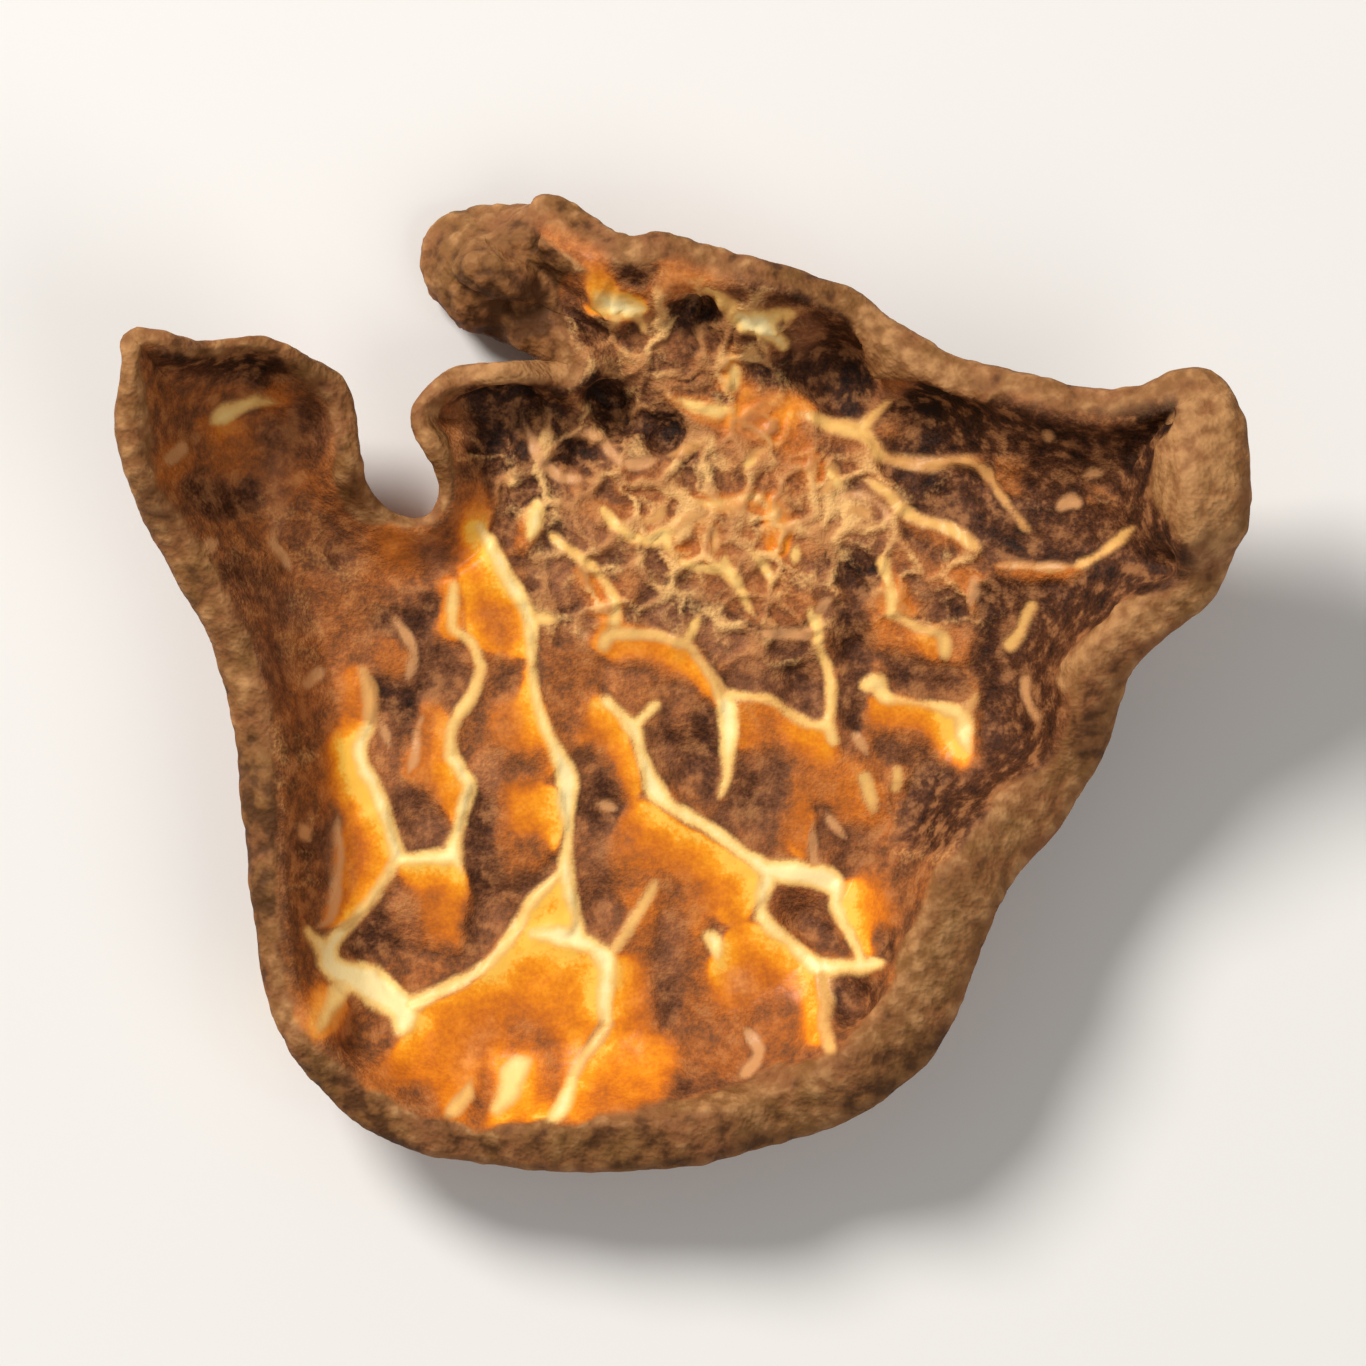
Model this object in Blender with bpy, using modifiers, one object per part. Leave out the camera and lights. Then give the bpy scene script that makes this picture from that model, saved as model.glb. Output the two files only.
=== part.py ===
"""One dried slice of truffle, lying on its flat middle with its edges curled up.

The slice is about 25.7 x 22 x 6.5 mm. It is made flat first: an outline filled
as a slab, with the lumps of the torn top edge set into it. Then the slab is
bent: its rim rises into lips, a horn on the left and a wing on the right.
"""
import bpy
import numpy as np

MM = 0.001

# Slab, in millimetres
FLAT_THICKNESS = 1.2
MIDDLE_THICKNESS = 1.35
VOXEL = 0.30
TRIANGLES = 7600
OUTLINE_STEPS = 5

# Middle line of the skin edge, seen from above, clockwise from the horn's tip
HORN = [
    (-12.50, 8.20), (-11.40, 8.02), (-10.50, 8.05), (-9.75, 8.12), (-9.10, 7.90),
    (-8.45, 7.50), (-7.95, 7.10), (-7.70, 6.60), (-7.65, 5.90),
]
NOTCH = [
    (-7.50, 5.20), (-7.15, 4.60), (-6.70, 4.20), (-6.20, 4.02), (-5.75, 4.15),
    (-5.50, 4.60), (-5.55, 5.20), (-5.80, 5.70), (-6.12, 6.20), (-6.10, 6.65),
]
SHOULDER = [
    (-5.75, 7.05), (-5.20, 7.32), (-4.40, 7.48), (-3.60, 7.48), (-2.90, 7.40),
    (-2.55, 7.62),
]
KNOB = [
    (-3.30, 8.10), (-4.10, 8.38), (-4.95, 8.85), (-5.60, 9.40), (-5.80, 10.00),
    (-5.60, 10.50), (-5.10, 10.85), (-4.40, 10.98), (-3.70, 10.98), (-3.15, 11.12),
]
FLAP = [
    (-2.60, 10.85), (-1.95, 10.42), (-1.25, 10.22), (-0.55, 10.32), (0.30, 10.02),
    (1.15, 9.80), (2.20, 9.60), (3.10, 9.28), (3.85, 8.98),
]
WING = [
    (4.45, 8.50), (5.15, 8.02), (5.90, 7.55), (6.80, 7.25), (7.70, 7.02),
    (8.60, 6.80), (9.50, 6.72), (10.30, 6.84), (11.05, 7.05), (11.65, 6.95),
    (11.95, 6.25), (12.02, 5.20), (12.00, 4.20), (11.88, 3.30), (11.60, 2.55),
    (10.95, 2.00),
]
WAIST = [(10.25, 1.45), (9.60, 0.70), (9.30, -0.30), (8.95, -1.25), (8.40, -2.05)]
FOOT = [
    (7.75, -2.80), (7.05, -3.55), (6.50, -4.40), (6.15, -5.30), (5.80, -6.20),
    (5.45, -7.00), (5.00, -7.70), (4.40, -8.35), (3.60, -8.95), (2.50, -9.45),
    (1.20, -9.85), (-0.30, -10.15), (-1.90, -10.30), (-3.50, -10.32),
    (-5.00, -10.20), (-6.30, -9.85), (-7.20, -9.38), (-8.00, -8.72),
]
BACK = [
    (-8.60, -8.00), (-9.05, -7.15), (-9.35, -6.15), (-9.50, -5.00), (-9.60, -3.60),
    (-9.70, -2.30), (-9.85, -1.00), (-10.05, 0.15), (-10.40, 1.25), (-10.90, 2.30),
    (-11.50, 3.30), (-12.05, 4.20), (-12.45, 5.10), (-12.65, 6.00), (-12.65, 6.90),
    (-12.58, 7.60),
]
OUTLINE = HORN + NOTCH + SHOULDER + KNOB + FLAP + WING + WAIST + FOOT + BACK

# The lip around the slice: x, y, height, thickness there, width of the bend
LIPS = [
    (-12.4, 7.9, 3.6, 0.60, 2.2),
    (-9.8, 8.1, 3.0, 0.60, 2.0),
    (-7.7, 6.2, 2.2, 0.75, 1.6),
    (-6.4, 4.1, 1.3, 0.75, 1.6),
    (-6.0, 6.5, 2.0, 0.70, 1.5),
    (-4.0, 7.5, 2.2, 0.75, 1.5),
    (-2.5, 7.6, 1.1, 1.00, 1.5),
    (-5.3, 9.8, 0.9, 2.20, 1.6),
    (-3.1, 11.0, 1.1, 1.50, 1.6),
    (-1.0, 10.3, 1.5, 1.05, 2.0),
    (3.0, 9.3, 2.1, 0.90, 2.2),
    (6.0, 7.5, 2.6, 1.00, 2.4),
    (9.4, 6.8, 3.0, 1.10, 2.4),
    (11.8, 5.0, 4.0, 2.00, 2.4),
    (10.6, 1.8, 2.8, 1.30, 2.2),
    (9.2, -0.7, 2.5, 1.45, 2.2),
    (7.0, -3.6, 3.0, 1.95, 2.6),
    (5.2, -7.3, 3.0, 1.90, 2.6),
    (0.0, -10.1, 2.4, 1.50, 2.6),
    (-6.0, -9.9, 2.2, 1.15, 2.3),
    (-9.4, -5.5, 2.4, 1.00, 2.2),
    (-9.9, -0.5, 2.5, 1.20, 2.2),
    (-11.2, 2.8, 2.8, 1.10, 2.2),
    (-12.5, 6.0, 3.4, 0.80, 2.2),
]
LIP_POWER = 2.0

# Broad rises of the whole slab: x, y, height, radius
RISES = [(12.5, 4.6, 2.2, 5.5), (-13.0, 7.0, 1.8, 5.0), (0.0, 11.0, 1.2, 3.2)]

# Lumps of the torn top edge, set into the flat slab: x, y, height, half sizes
LUMPS = [
    (-4.65, 9.85, 0.30, 1.15, 1.05, 0.70),
    (-3.50, 9.55, 0.25, 1.00, 1.10, 0.65),
    (-0.35, 9.55, 0.45, 0.70, 0.50, 0.50),
    (-1.60, 8.95, 0.40, 0.75, 0.50, 0.55),
    (1.55, 8.60, 0.45, 0.75, 0.45, 0.50),
    (-5.10, 6.15, 0.40, 0.50, 0.70, 0.45),
]
STRIP = [(-3.25, 10.90), (-2.85, 10.55), (-2.40, 10.25), (-1.95, 9.80), (-1.75, 9.30)]
STRIP_HEIGHT = 0.55
STRIP_RADIUS = 0.36

# Pits in the cut face: x, y, half width, depth
PITS = [
    (0.25, 8.65, 0.50, 0.75), (-1.45, 6.50, 0.85, 0.70), (-0.70, 6.05, 0.45, 0.35),
    (-2.45, 5.60, 0.45, 0.35), (-3.60, 6.80, 0.60, 0.45), (3.30, 7.60, 0.90, 0.50),
    (5.30, 6.20, 0.90, 0.45), (6.00, 4.70, 0.70, 0.35), (2.50, 0.45, 0.65, 0.35),
    (2.60, -4.95, 0.50, 0.35), (-6.30, -5.60, 0.80, 0.30), (-7.25, -7.55, 0.60, 0.35),
    (-6.15, -2.70, 0.55, 0.25), (-1.90, -4.40, 0.50, 0.25), (-4.30, -4.60, 0.70, 0.30),
    (3.70, -7.00, 0.50, 0.30), (-0.30, -1.30, 0.60, 0.25), (3.75, 1.60, 0.45, 0.25),
]

# Thick veins that stand proud of the cut face: half width, then points
VEIN_HEIGHT = 0.30
VEINS = [
    (0.30, [(-4.5, 3.7), (-3.95, 2.5), (-3.55, 1.7), (-3.45, 0.3), (-2.95, -1.3),
            (-2.7, -2.8), (-2.75, -4.0), (-2.75, -5.3), (-1.85, -5.9), (-1.85, -7.4),
            (-2.6, -8.6), (-2.9, -9.4)]),
    (0.28, [(-7.3, 0.6), (-7.25, -0.6), (-7.45, -1.3), (-6.95, -2.5), (-6.55, -3.6),
            (-7.4, -4.9), (-8.0, -5.8), (-7.3, -6.4), (-6.4, -7.1), (-5.2, -6.5),
            (-4.2, -5.8), (-3.3, -4.4)]),
    (0.24, [(-4.9, 1.4), (-4.7, 0.6), (-5.3, -0.7), (-5.0, -1.9), (-5.35, -3.5),
            (-6.5, -3.65)]),
    (0.26, [(-1.9, 0.0), (-1.25, -0.6), (-0.85, -1.8), (0.2, -2.7), (1.4, -3.6),
            (2.2, -3.95), (3.3, -4.2), (3.7, -5.4), (3.2, -6.1), (2.0, -5.3),
            (1.7, -4.4)]),
    (0.26, [(-1.8, 1.5), (-0.7, 1.45), (0.1, 1.2), (0.9, 0.0), (0.95, -1.2),
            (0.75, -2.2)]),
    (0.22, [(0.9, 0.0), (2.1, -0.2), (3.2, -0.4), (3.1, 0.9), (2.9, 1.9)]),
    (0.24, [(-0.1, 6.8), (1.0, 6.5), (2.6, 6.5), (4.0, 6.1), (4.5, 5.5), (6.4, 5.3),
            (7.4, 4.2)]),
    (0.24, [(4.1, 5.0), (5.1, 4.2), (6.5, 3.5)]),
    (0.22, [(7.2, 3.05), (8.8, 3.0), (10.1, 3.95)]),
    (0.26, [(4.3, 0.3), (5.6, -0.2), (6.4, -0.9)]),
]

# Cut flat under the middle, so that the slice rests
FLAT_CUT = 0.20

# Grid on which the bent surface is worked out
GRID_STEP = 0.15
GRID_MARGIN = 2.0


def clear_scene():
    for obj in list(bpy.data.objects):
        bpy.data.objects.remove(obj, do_unlink=True)


def smooth_loop(points, steps):
    """Points along a closed smooth curve (Catmull-Rom) through `points`."""
    corners = np.array(points)
    before, after = np.roll(corners, 1, 0), np.roll(corners, -1, 0)
    beyond = np.roll(corners, -2, 0)
    curve = []
    for t in np.arange(steps) / steps:
        curve.append(0.5 * (2 * corners + (after - before) * t
                            + (2 * before - 5 * corners + 4 * after - beyond) * t ** 2
                            + (3 * corners - before - 3 * after + beyond) * t ** 3))
    return np.stack(curve, 1).reshape(-1, 2)


def soft_noise(x, y, size, seed):
    """Seeded smooth bumps about `size` across, from -1 to 1."""
    lattice = np.random.RandomState(seed).uniform(-1, 1, (64, 64))
    u, v = x / size + 32.0, y / size + 32.0
    i, j = np.floor(u).astype(int), np.floor(v).astype(int)
    u, v = u - i, v - j
    u, v = u * u * (3 - 2 * u), v * v * (3 - 2 * v)
    i, j, i2, j2 = i % 64, j % 64, (i + 1) % 64, (j + 1) % 64
    near = lattice[i, j] * (1 - u) + lattice[i2, j] * u
    far = lattice[i, j2] * (1 - u) + lattice[i2, j2] * u
    return near * (1 - v) + far * v


def inside(x, y, loop):
    """True for the points that lie within a closed loop."""
    result = np.zeros(x.shape, bool)
    for (ax, ay), (bx, by) in zip(loop, np.roll(loop, -1, 0)):
        if ay == by:
            continue
        crosses = (ay > y) != (by > y)
        result ^= crosses & (x < (bx - ax) * (y - ay) / (by - ay) + ax)
    return result


def edge_distance(x, y, loop):
    """Soft distance to the edge, positive inside. It has no crease half way across."""
    following = np.roll(loop, -1, 0)
    parts = np.concatenate([loop + (following - loop) * k / 4 for k in range(4)])
    lengths = np.tile(np.linalg.norm(following - loop, axis=1) / 4, 4)
    pull = np.zeros(x.shape)
    for (px, py), length in zip(parts, lengths):
        pull += length / ((x - px) ** 2 + (y - py) ** 2 + 0.0016) ** 2
    distance = (np.pi / (2 * pull)) ** (1 / 3)
    return np.where(inside(x, y, loop), distance, -distance)


def path_distance(x, y, points):
    """Distance to an open line through `points`."""
    nearest = np.full(x.shape, 1e9)
    for (ax, ay), (bx, by) in zip(points[:-1], points[1:]):
        dx, dy = bx - ax, by - ay
        along = np.clip(((x - ax) * dx + (y - ay) * dy) / (dx * dx + dy * dy), 0, 1)
        nearest = np.minimum(nearest, np.hypot(x - ax - along * dx, y - ay - along * dy))
    return nearest


def lip_values(x, y):
    """Lip height, thickness and bend width near a point, blended from LIPS."""
    total = np.zeros(x.shape)
    values = np.zeros((3,) + x.shape)
    for px, py, height, thickness, width in LIPS:
        weight = 1 / ((x - px) ** 2 + (y - py) ** 2 + 0.25) ** 2
        total += weight
        for k, value in enumerate((height, thickness, width)):
            values[k] += weight * value
    return values / total


def surface_grid(loop):
    """Height of the slab's middle surface and its thickness, over a grid."""
    low, high = loop.min(0) - GRID_MARGIN, loop.max(0) + GRID_MARGIN
    xs = np.arange(low[0], high[0], GRID_STEP)
    ys = np.arange(low[1], high[1], GRID_STEP)
    x, y = np.meshgrid(xs, ys, indexing="ij")
    distance = edge_distance(x, y, loop)
    height, thickness, width = lip_values(x, y)
    rim = np.clip(1 - distance / width, 0, 1.35)
    wave = 1 + 0.12 * soft_noise(x, y, 2.3, 3) + 0.06 * soft_noise(x, y, 1.1, 4)
    middle = height * wave * rim ** LIP_POWER
    for px, py, rise, radius in RISES:
        away = np.clip(1 - np.hypot(x - px, y - py) / (radius * 1.6), 0, 1)
        middle += rise * away ** 2 * (3 - 2 * away)
    middle += 0.14 * soft_noise(x, y, 2.6, 7) * np.clip(rim * 2, 0, 1)
    blend = np.clip(rim, 0, 1)
    thickness = MIDDLE_THICKNESS + (thickness - MIDDLE_THICKNESS) * blend ** 0.5
    return low, distance, middle, thickness


def sample(grid, low, x, y):
    """Value of a grid at the points, straight between its corners."""
    u, v = (x - low[0]) / GRID_STEP, (y - low[1]) / GRID_STEP
    i = np.clip(np.floor(u).astype(int), 0, grid.shape[0] - 2)
    j = np.clip(np.floor(v).astype(int), 0, grid.shape[1] - 2)
    u, v = np.clip(u - i, 0, 1), np.clip(v - j, 0, 1)
    near = grid[i, j] * (1 - u) + grid[i + 1, j] * u
    far = grid[i, j + 1] * (1 - u) + grid[i + 1, j + 1] * u
    return near * (1 - v) + far * v


def relief(x, y):
    """Height of veins, lumps and pits on the cut face."""
    height = 0.10 * soft_noise(x, y, 0.9, 11) + 0.07 * soft_noise(x, y, 0.55, 12)
    for half_width, points in VEINS:
        height += VEIN_HEIGHT * np.exp(-(path_distance(x, y, points) / half_width) ** 2)
    for px, py, half_width, depth in PITS:
        away = ((x - px) ** 2 + (y - py) ** 2) / half_width ** 2
        height -= depth * np.exp(-away)
    return height


def slab_object(collection, loop):
    """The outline filled as a flat slab, as a mesh."""
    curve = bpy.data.curves.new("outline", "CURVE")
    curve.dimensions = "2D"
    curve.fill_mode = "BOTH"
    curve.extrude = FLAT_THICKNESS / 2
    spline = curve.splines.new("POLY")
    spline.points.add(len(loop) - 1)
    for point, (x, y) in zip(spline.points, loop):
        point.co = (x, y, 0, 1)
    spline.use_cyclic_u = True
    outline = bpy.data.objects.new("outline", curve)
    collection.objects.link(outline)
    slab = bpy.data.objects.new("slab", evaluated_mesh(outline))
    collection.objects.link(slab)
    bpy.data.objects.remove(outline, do_unlink=True)
    return slab


def evaluated_mesh(obj):
    """The mesh that an object's curve or modifiers make."""
    bpy.context.view_layer.update()
    graph = bpy.context.evaluated_depsgraph_get()
    return bpy.data.meshes.new_from_object(obj.evaluated_get(graph))


def lump_objects():
    """Round lumps and the strip that are set into the slab's torn top edge."""
    made = []
    for x, y, z, half_x, half_y, half_z in LUMPS:
        bpy.ops.mesh.primitive_ico_sphere_add(subdivisions=3, radius=1, location=(x, y, z))
        lump = bpy.context.object
        lump.scale = (half_x, half_y, half_z)
        made.append(lump)
    for (ax, ay), (bx, by) in zip(STRIP[:-1], STRIP[1:]):
        for k in range(3):
            x, y = ax + (bx - ax) * k / 3, ay + (by - ay) * k / 3
            bpy.ops.mesh.primitive_ico_sphere_add(subdivisions=2, radius=STRIP_RADIUS,
                                                  location=(x, y, STRIP_HEIGHT))
            made.append(bpy.context.object)
    return made


def join(objects):
    """Join objects into the first one, with its place and scale applied."""
    bpy.ops.object.select_all(action="DESELECT")
    for obj in objects:
        obj.select_set(True)
    bpy.context.view_layer.objects.active = objects[0]
    bpy.ops.object.join()
    bpy.ops.object.transform_apply(location=True, rotation=True, scale=True)
    return bpy.context.view_layer.objects.active


def one_skin(obj):
    """Fuse whatever overlaps in the object with a voxel remesh."""
    remesh = obj.modifiers.new("one skin", "REMESH")
    remesh.mode = "VOXEL"
    remesh.voxel_size = VOXEL
    replace_mesh(obj, evaluated_mesh(obj))


def replace_mesh(obj, mesh):
    obj.modifiers.clear()
    obj.data = mesh


def read_points(mesh):
    points = np.empty(len(mesh.vertices) * 3)
    mesh.vertices.foreach_get("co", points)
    return points.reshape(-1, 3)


def write_points(mesh, points):
    mesh.vertices.foreach_set("co", points.astype(np.float32).ravel())
    mesh.update()


def bend(mesh, loop):
    """Carry the flat slab onto the bent surface, with its relief."""
    low, distance, middle, thickness = surface_grid(loop)
    slope_x, slope_y = np.gradient(middle, GRID_STEP)
    x, y, t = read_points(mesh).T
    fx, fy = sample(slope_x, low, x, y), sample(slope_y, low, x, y)
    normal = np.stack([-fx, -fy, np.ones(len(x))], 1)
    normal /= np.linalg.norm(normal, axis=1, keepdims=True)
    offset = t / FLAT_THICKNESS * sample(thickness, low, x, y)
    points = np.stack([x, y, sample(middle, low, x, y)], 1) + offset[:, None] * normal
    share = np.clip(t / (FLAT_THICKNESS / 2), 0, 1) ** 2
    inner = np.clip(sample(distance, low, x, y) / 0.6, 0, 1)
    lift = share * inner * relief(points[:, 0], points[:, 1])
    lift += (1 - share) * 0.10 * soft_noise(points[:, 0], points[:, 1], 1.2, 21)
    points += lift[:, None] * normal
    write_points(mesh, points)


def thin_out(obj):
    """Bring the mesh down to its triangle count."""
    decimate = obj.modifiers.new("fewer faces", "DECIMATE")
    count = sum(len(face.vertices) - 2 for face in obj.data.polygons)
    decimate.ratio = min(1.0, TRIANGLES / count)
    decimate.use_collapse_triangulate = True
    replace_mesh(obj, evaluated_mesh(obj))


def settle(mesh):
    """Cut the underside flat where it rests, and centre the slice on its foot."""
    points = read_points(mesh)
    points[:, 2] -= points[:, 2].min() + FLAT_CUT
    points[:, 2] = np.maximum(points[:, 2], 0)
    centre = (points.min(0) + points.max(0)) / 2
    points[:, :2] -= centre[:2]
    print("slice centre moved by", centre[:2], "size", np.ptp(points, axis=0))
    write_points(mesh, points * MM)


def flesh_material():
    material = bpy.data.materials.new("dried truffle")
    material.use_nodes = True
    shader = material.node_tree.nodes["Principled BSDF"]
    shader.inputs["Base Color"].default_value = (0.24, 0.11, 0.045, 1)
    shader.inputs["Roughness"].default_value = 0.6
    shader.inputs["Metallic"].default_value = 0.0
    return material


def main():
    clear_scene()
    collection = bpy.data.collections.new("truffle slice")
    bpy.context.scene.collection.children.link(collection)
    layer = bpy.context.view_layer.layer_collection.children[collection.name]
    bpy.context.view_layer.active_layer_collection = layer
    loop = smooth_loop(OUTLINE, OUTLINE_STEPS)
    slab = slab_object(collection, loop)
    slice_object = join([slab] + lump_objects())
    slice_object.name = "truffle_slice"
    one_skin(slice_object)
    bend(slice_object.data, loop)
    one_skin(slice_object)
    thin_out(slice_object)
    settle(slice_object.data)
    slice_object.data.materials.clear()
    slice_object.data.materials.append(flesh_material())
    slice_object.data.shade_smooth()


main()
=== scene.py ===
# %% [markdown]
# # A dried slice of truffle, seen from straight above
#
# The object is one thin slice, cut across a truffle and dried until it cupped. Its cut face is
# marbled: cream veins run between amber and dark brown cells. Around it runs the skin, a grainy
# brown band that has turned up to face the viewer. It is all one piece of tissue, so it is one
# mesh here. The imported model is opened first, because everything has to sit where it sits.

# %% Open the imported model
import math

import bmesh
import bpy
import numpy as np
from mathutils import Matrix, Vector, noise


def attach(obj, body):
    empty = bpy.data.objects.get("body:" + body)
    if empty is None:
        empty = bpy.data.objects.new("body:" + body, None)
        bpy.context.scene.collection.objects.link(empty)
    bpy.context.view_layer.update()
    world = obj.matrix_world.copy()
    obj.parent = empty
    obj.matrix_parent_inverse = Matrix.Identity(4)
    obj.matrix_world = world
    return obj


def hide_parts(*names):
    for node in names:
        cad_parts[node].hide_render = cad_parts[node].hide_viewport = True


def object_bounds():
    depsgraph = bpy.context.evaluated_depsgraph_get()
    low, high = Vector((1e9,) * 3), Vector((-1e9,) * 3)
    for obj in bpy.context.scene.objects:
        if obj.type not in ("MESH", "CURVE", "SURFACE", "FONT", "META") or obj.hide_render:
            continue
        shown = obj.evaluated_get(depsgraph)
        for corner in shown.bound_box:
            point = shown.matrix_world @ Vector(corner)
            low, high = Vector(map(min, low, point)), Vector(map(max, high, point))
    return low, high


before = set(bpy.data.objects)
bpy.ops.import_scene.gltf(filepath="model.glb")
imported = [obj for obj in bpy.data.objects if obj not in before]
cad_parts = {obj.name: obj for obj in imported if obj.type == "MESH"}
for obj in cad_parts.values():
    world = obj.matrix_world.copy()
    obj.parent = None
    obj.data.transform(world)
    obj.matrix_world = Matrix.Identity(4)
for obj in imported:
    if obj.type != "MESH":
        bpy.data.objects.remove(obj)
NODE = "truffle_slice"
MM = 0.001
cad_bounds = [list(corner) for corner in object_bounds()]
print("packed model from", cad_bounds[0], "to", cad_bounds[1])

# %% [markdown]
# ## The outline
#
# The slice could be sculpted from a lump, but its outline is what a viewer knows it by, so the
# outline leads. These are points on the middle line of the skin edge, in millimetres, clockwise
# from the tip of the horn on the left. A smooth curve is drawn through them.

# %% Points of the outline
HORN = [
    (-12.50, 8.20), (-11.40, 8.02), (-10.50, 8.05), (-9.75, 8.12), (-9.10, 7.90),
    (-8.45, 7.50), (-7.95, 7.10), (-7.70, 6.60), (-7.65, 5.90),
]
NOTCH = [
    (-7.50, 5.20), (-7.15, 4.60), (-6.70, 4.20), (-6.20, 4.02), (-5.75, 4.15),
    (-5.50, 4.60), (-5.55, 5.20), (-5.80, 5.70), (-6.12, 6.20), (-6.10, 6.65),
]
SHOULDER = [
    (-5.75, 7.05), (-5.20, 7.32), (-4.40, 7.48), (-3.60, 7.48), (-2.90, 7.40),
    (-2.55, 7.62),
]
KNOB = [
    (-3.30, 8.10), (-4.10, 8.38), (-4.95, 8.85), (-5.60, 9.40), (-5.80, 10.00),
    (-5.60, 10.50), (-5.10, 10.85), (-4.40, 10.98), (-3.70, 10.98), (-3.15, 11.12),
]
FLAP = [
    (-2.60, 10.85), (-1.95, 10.42), (-1.25, 10.22), (-0.55, 10.32), (0.30, 10.02),
    (1.15, 9.80), (2.20, 9.60), (3.10, 9.28), (3.85, 8.98),
]
WING = [
    (4.45, 8.50), (5.15, 8.02), (5.90, 7.55), (6.80, 7.25), (7.70, 7.02),
    (8.60, 6.80), (9.50, 6.72), (10.30, 6.84), (11.05, 7.05), (11.65, 6.95),
    (11.95, 6.25), (12.02, 5.20), (12.00, 4.20), (11.88, 3.30), (11.60, 2.55),
    (10.95, 2.00),
]
WAIST = [(10.25, 1.45), (9.60, 0.70), (9.30, -0.30), (8.95, -1.25), (8.40, -2.05)]
FOOT = [
    (7.75, -2.80), (7.05, -3.55), (6.50, -4.40), (6.15, -5.30), (5.80, -6.20),
    (5.45, -7.00), (5.00, -7.70), (4.40, -8.35), (3.60, -8.95), (2.50, -9.45),
    (1.20, -9.85), (-0.30, -10.15), (-1.90, -10.30), (-3.50, -10.32),
    (-5.00, -10.20), (-6.30, -9.85), (-7.20, -9.38), (-8.00, -8.72),
]
BACK = [
    (-8.60, -8.00), (-9.05, -7.15), (-9.35, -6.15), (-9.50, -5.00), (-9.60, -3.60),
    (-9.70, -2.30), (-9.85, -1.00), (-10.05, 0.15), (-10.40, 1.25), (-10.90, 2.30),
    (-11.50, 3.30), (-12.05, 4.20), (-12.45, 5.10), (-12.65, 6.00), (-12.65, 6.90),
    (-12.58, 7.60),
]
OUTLINE = HORN + NOTCH + SHOULDER + KNOB + FLAP + WING + WAIST + FOOT + BACK
OUTLINE_STEPS = 5
print("outline drawn with", len(OUTLINE), "points")

# %% [markdown]
# ## A smooth curve through points
#
# No edge of a grown thing has corners. Blender's own curves could round them, but the fields below
# need the points as numbers. A Catmull-Rom curve passes through every given point, so what is drawn
# is what comes out, and it also serves for the veins and the cells later.

# %% A smooth curve through points
def smooth_points(points, steps, closed):
    """Points along a Catmull-Rom curve. Columns after x and y, such as a width, blend too."""
    corners = np.array(points, float)
    if closed:
        padded = np.concatenate([corners[-1:], corners, corners[:2]])
    else:
        padded = np.concatenate([2 * corners[:1] - corners[1:2], corners,
                                 2 * corners[-1:] - corners[-2:-1]])
    before, here, after, beyond = padded[:-3], padded[1:-2], padded[2:-1], padded[3:]
    curve = []
    for t in np.arange(steps) / steps:
        curve.append(0.5 * (2 * here + (after - before) * t
                            + (2 * before - 5 * here + 4 * after - beyond) * t ** 2
                            + (3 * here - before - 3 * after + beyond) * t ** 3))
    curve = np.stack(curve, 1).reshape(-1, corners.shape[1])
    return curve if closed else np.concatenate([curve, corners[-1:]])


loop = smooth_points(OUTLINE, OUTLINE_STEPS, True)
print("outline of", len(loop), "points,", np.ptp(loop, axis=0).round(2), "mm across")

# %% [markdown]
# ## A flat blank
#
# The real slice was cut flat and curled later, and it is made in that order. The outline is filled
# and given a thickness, the lumps of the torn top edge are pushed into it, and a voxel remesh
# makes one even skin of it all. Even faces matter, because every later shape moves their points.
# A lump is an oval ball, given by its place and its half sizes, and the narrow strip is a row of
# balls whose ends sink into the slab.

# %% The slab and its lumps
FLAT_THICKNESS = 1.2
LUMPS = [
    (-4.40, 9.65, 0.30, 1.40, 1.25, 1.30),
    (-0.35, 9.55, 0.45, 0.70, 0.50, 0.50),
    (-1.60, 8.95, 0.40, 0.75, 0.50, 0.55),
    (1.55, 8.60, 0.45, 0.75, 0.45, 0.50),
    (-5.10, 6.15, 0.40, 0.50, 0.70, 0.45),
]
STRIP = [
    (-3.15, 10.80, 0.40), (-2.85, 10.55, 0.78), (-2.40, 10.25, 0.84), (-1.95, 9.80, 0.78),
    (-1.75, 9.30, 0.40),
]
STRIP_RADIUS = 0.30
STRIP_STEPS = 4


def evaluated_mesh(obj):
    """A new mesh of what the object looks like once its modifiers have worked."""
    bpy.context.view_layer.update()
    graph = bpy.context.evaluated_depsgraph_get()
    return bpy.data.meshes.new_from_object(obj.evaluated_get(graph))


def slab_from_outline():
    curve = bpy.data.curves.new("outline", "CURVE")
    curve.dimensions = "2D"
    curve.fill_mode = "BOTH"
    curve.extrude = FLAT_THICKNESS / 2
    spline = curve.splines.new("POLY")
    spline.points.add(len(loop) - 1)
    for point, (x, y) in zip(spline.points, loop):
        point.co = (x, y, 0, 1)
    spline.use_cyclic_u = True
    outline = bpy.data.objects.new("outline", curve)
    bpy.context.scene.collection.objects.link(outline)
    slab = bpy.data.objects.new("slab", evaluated_mesh(outline))
    bpy.context.scene.collection.objects.link(slab)
    bpy.data.objects.remove(outline, do_unlink=True)
    return slab


def ball(x, y, z, size):
    bpy.ops.mesh.primitive_ico_sphere_add(subdivisions=4, radius=1, location=(x, y, z))
    bpy.context.object.scale = size
    return bpy.context.object


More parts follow.
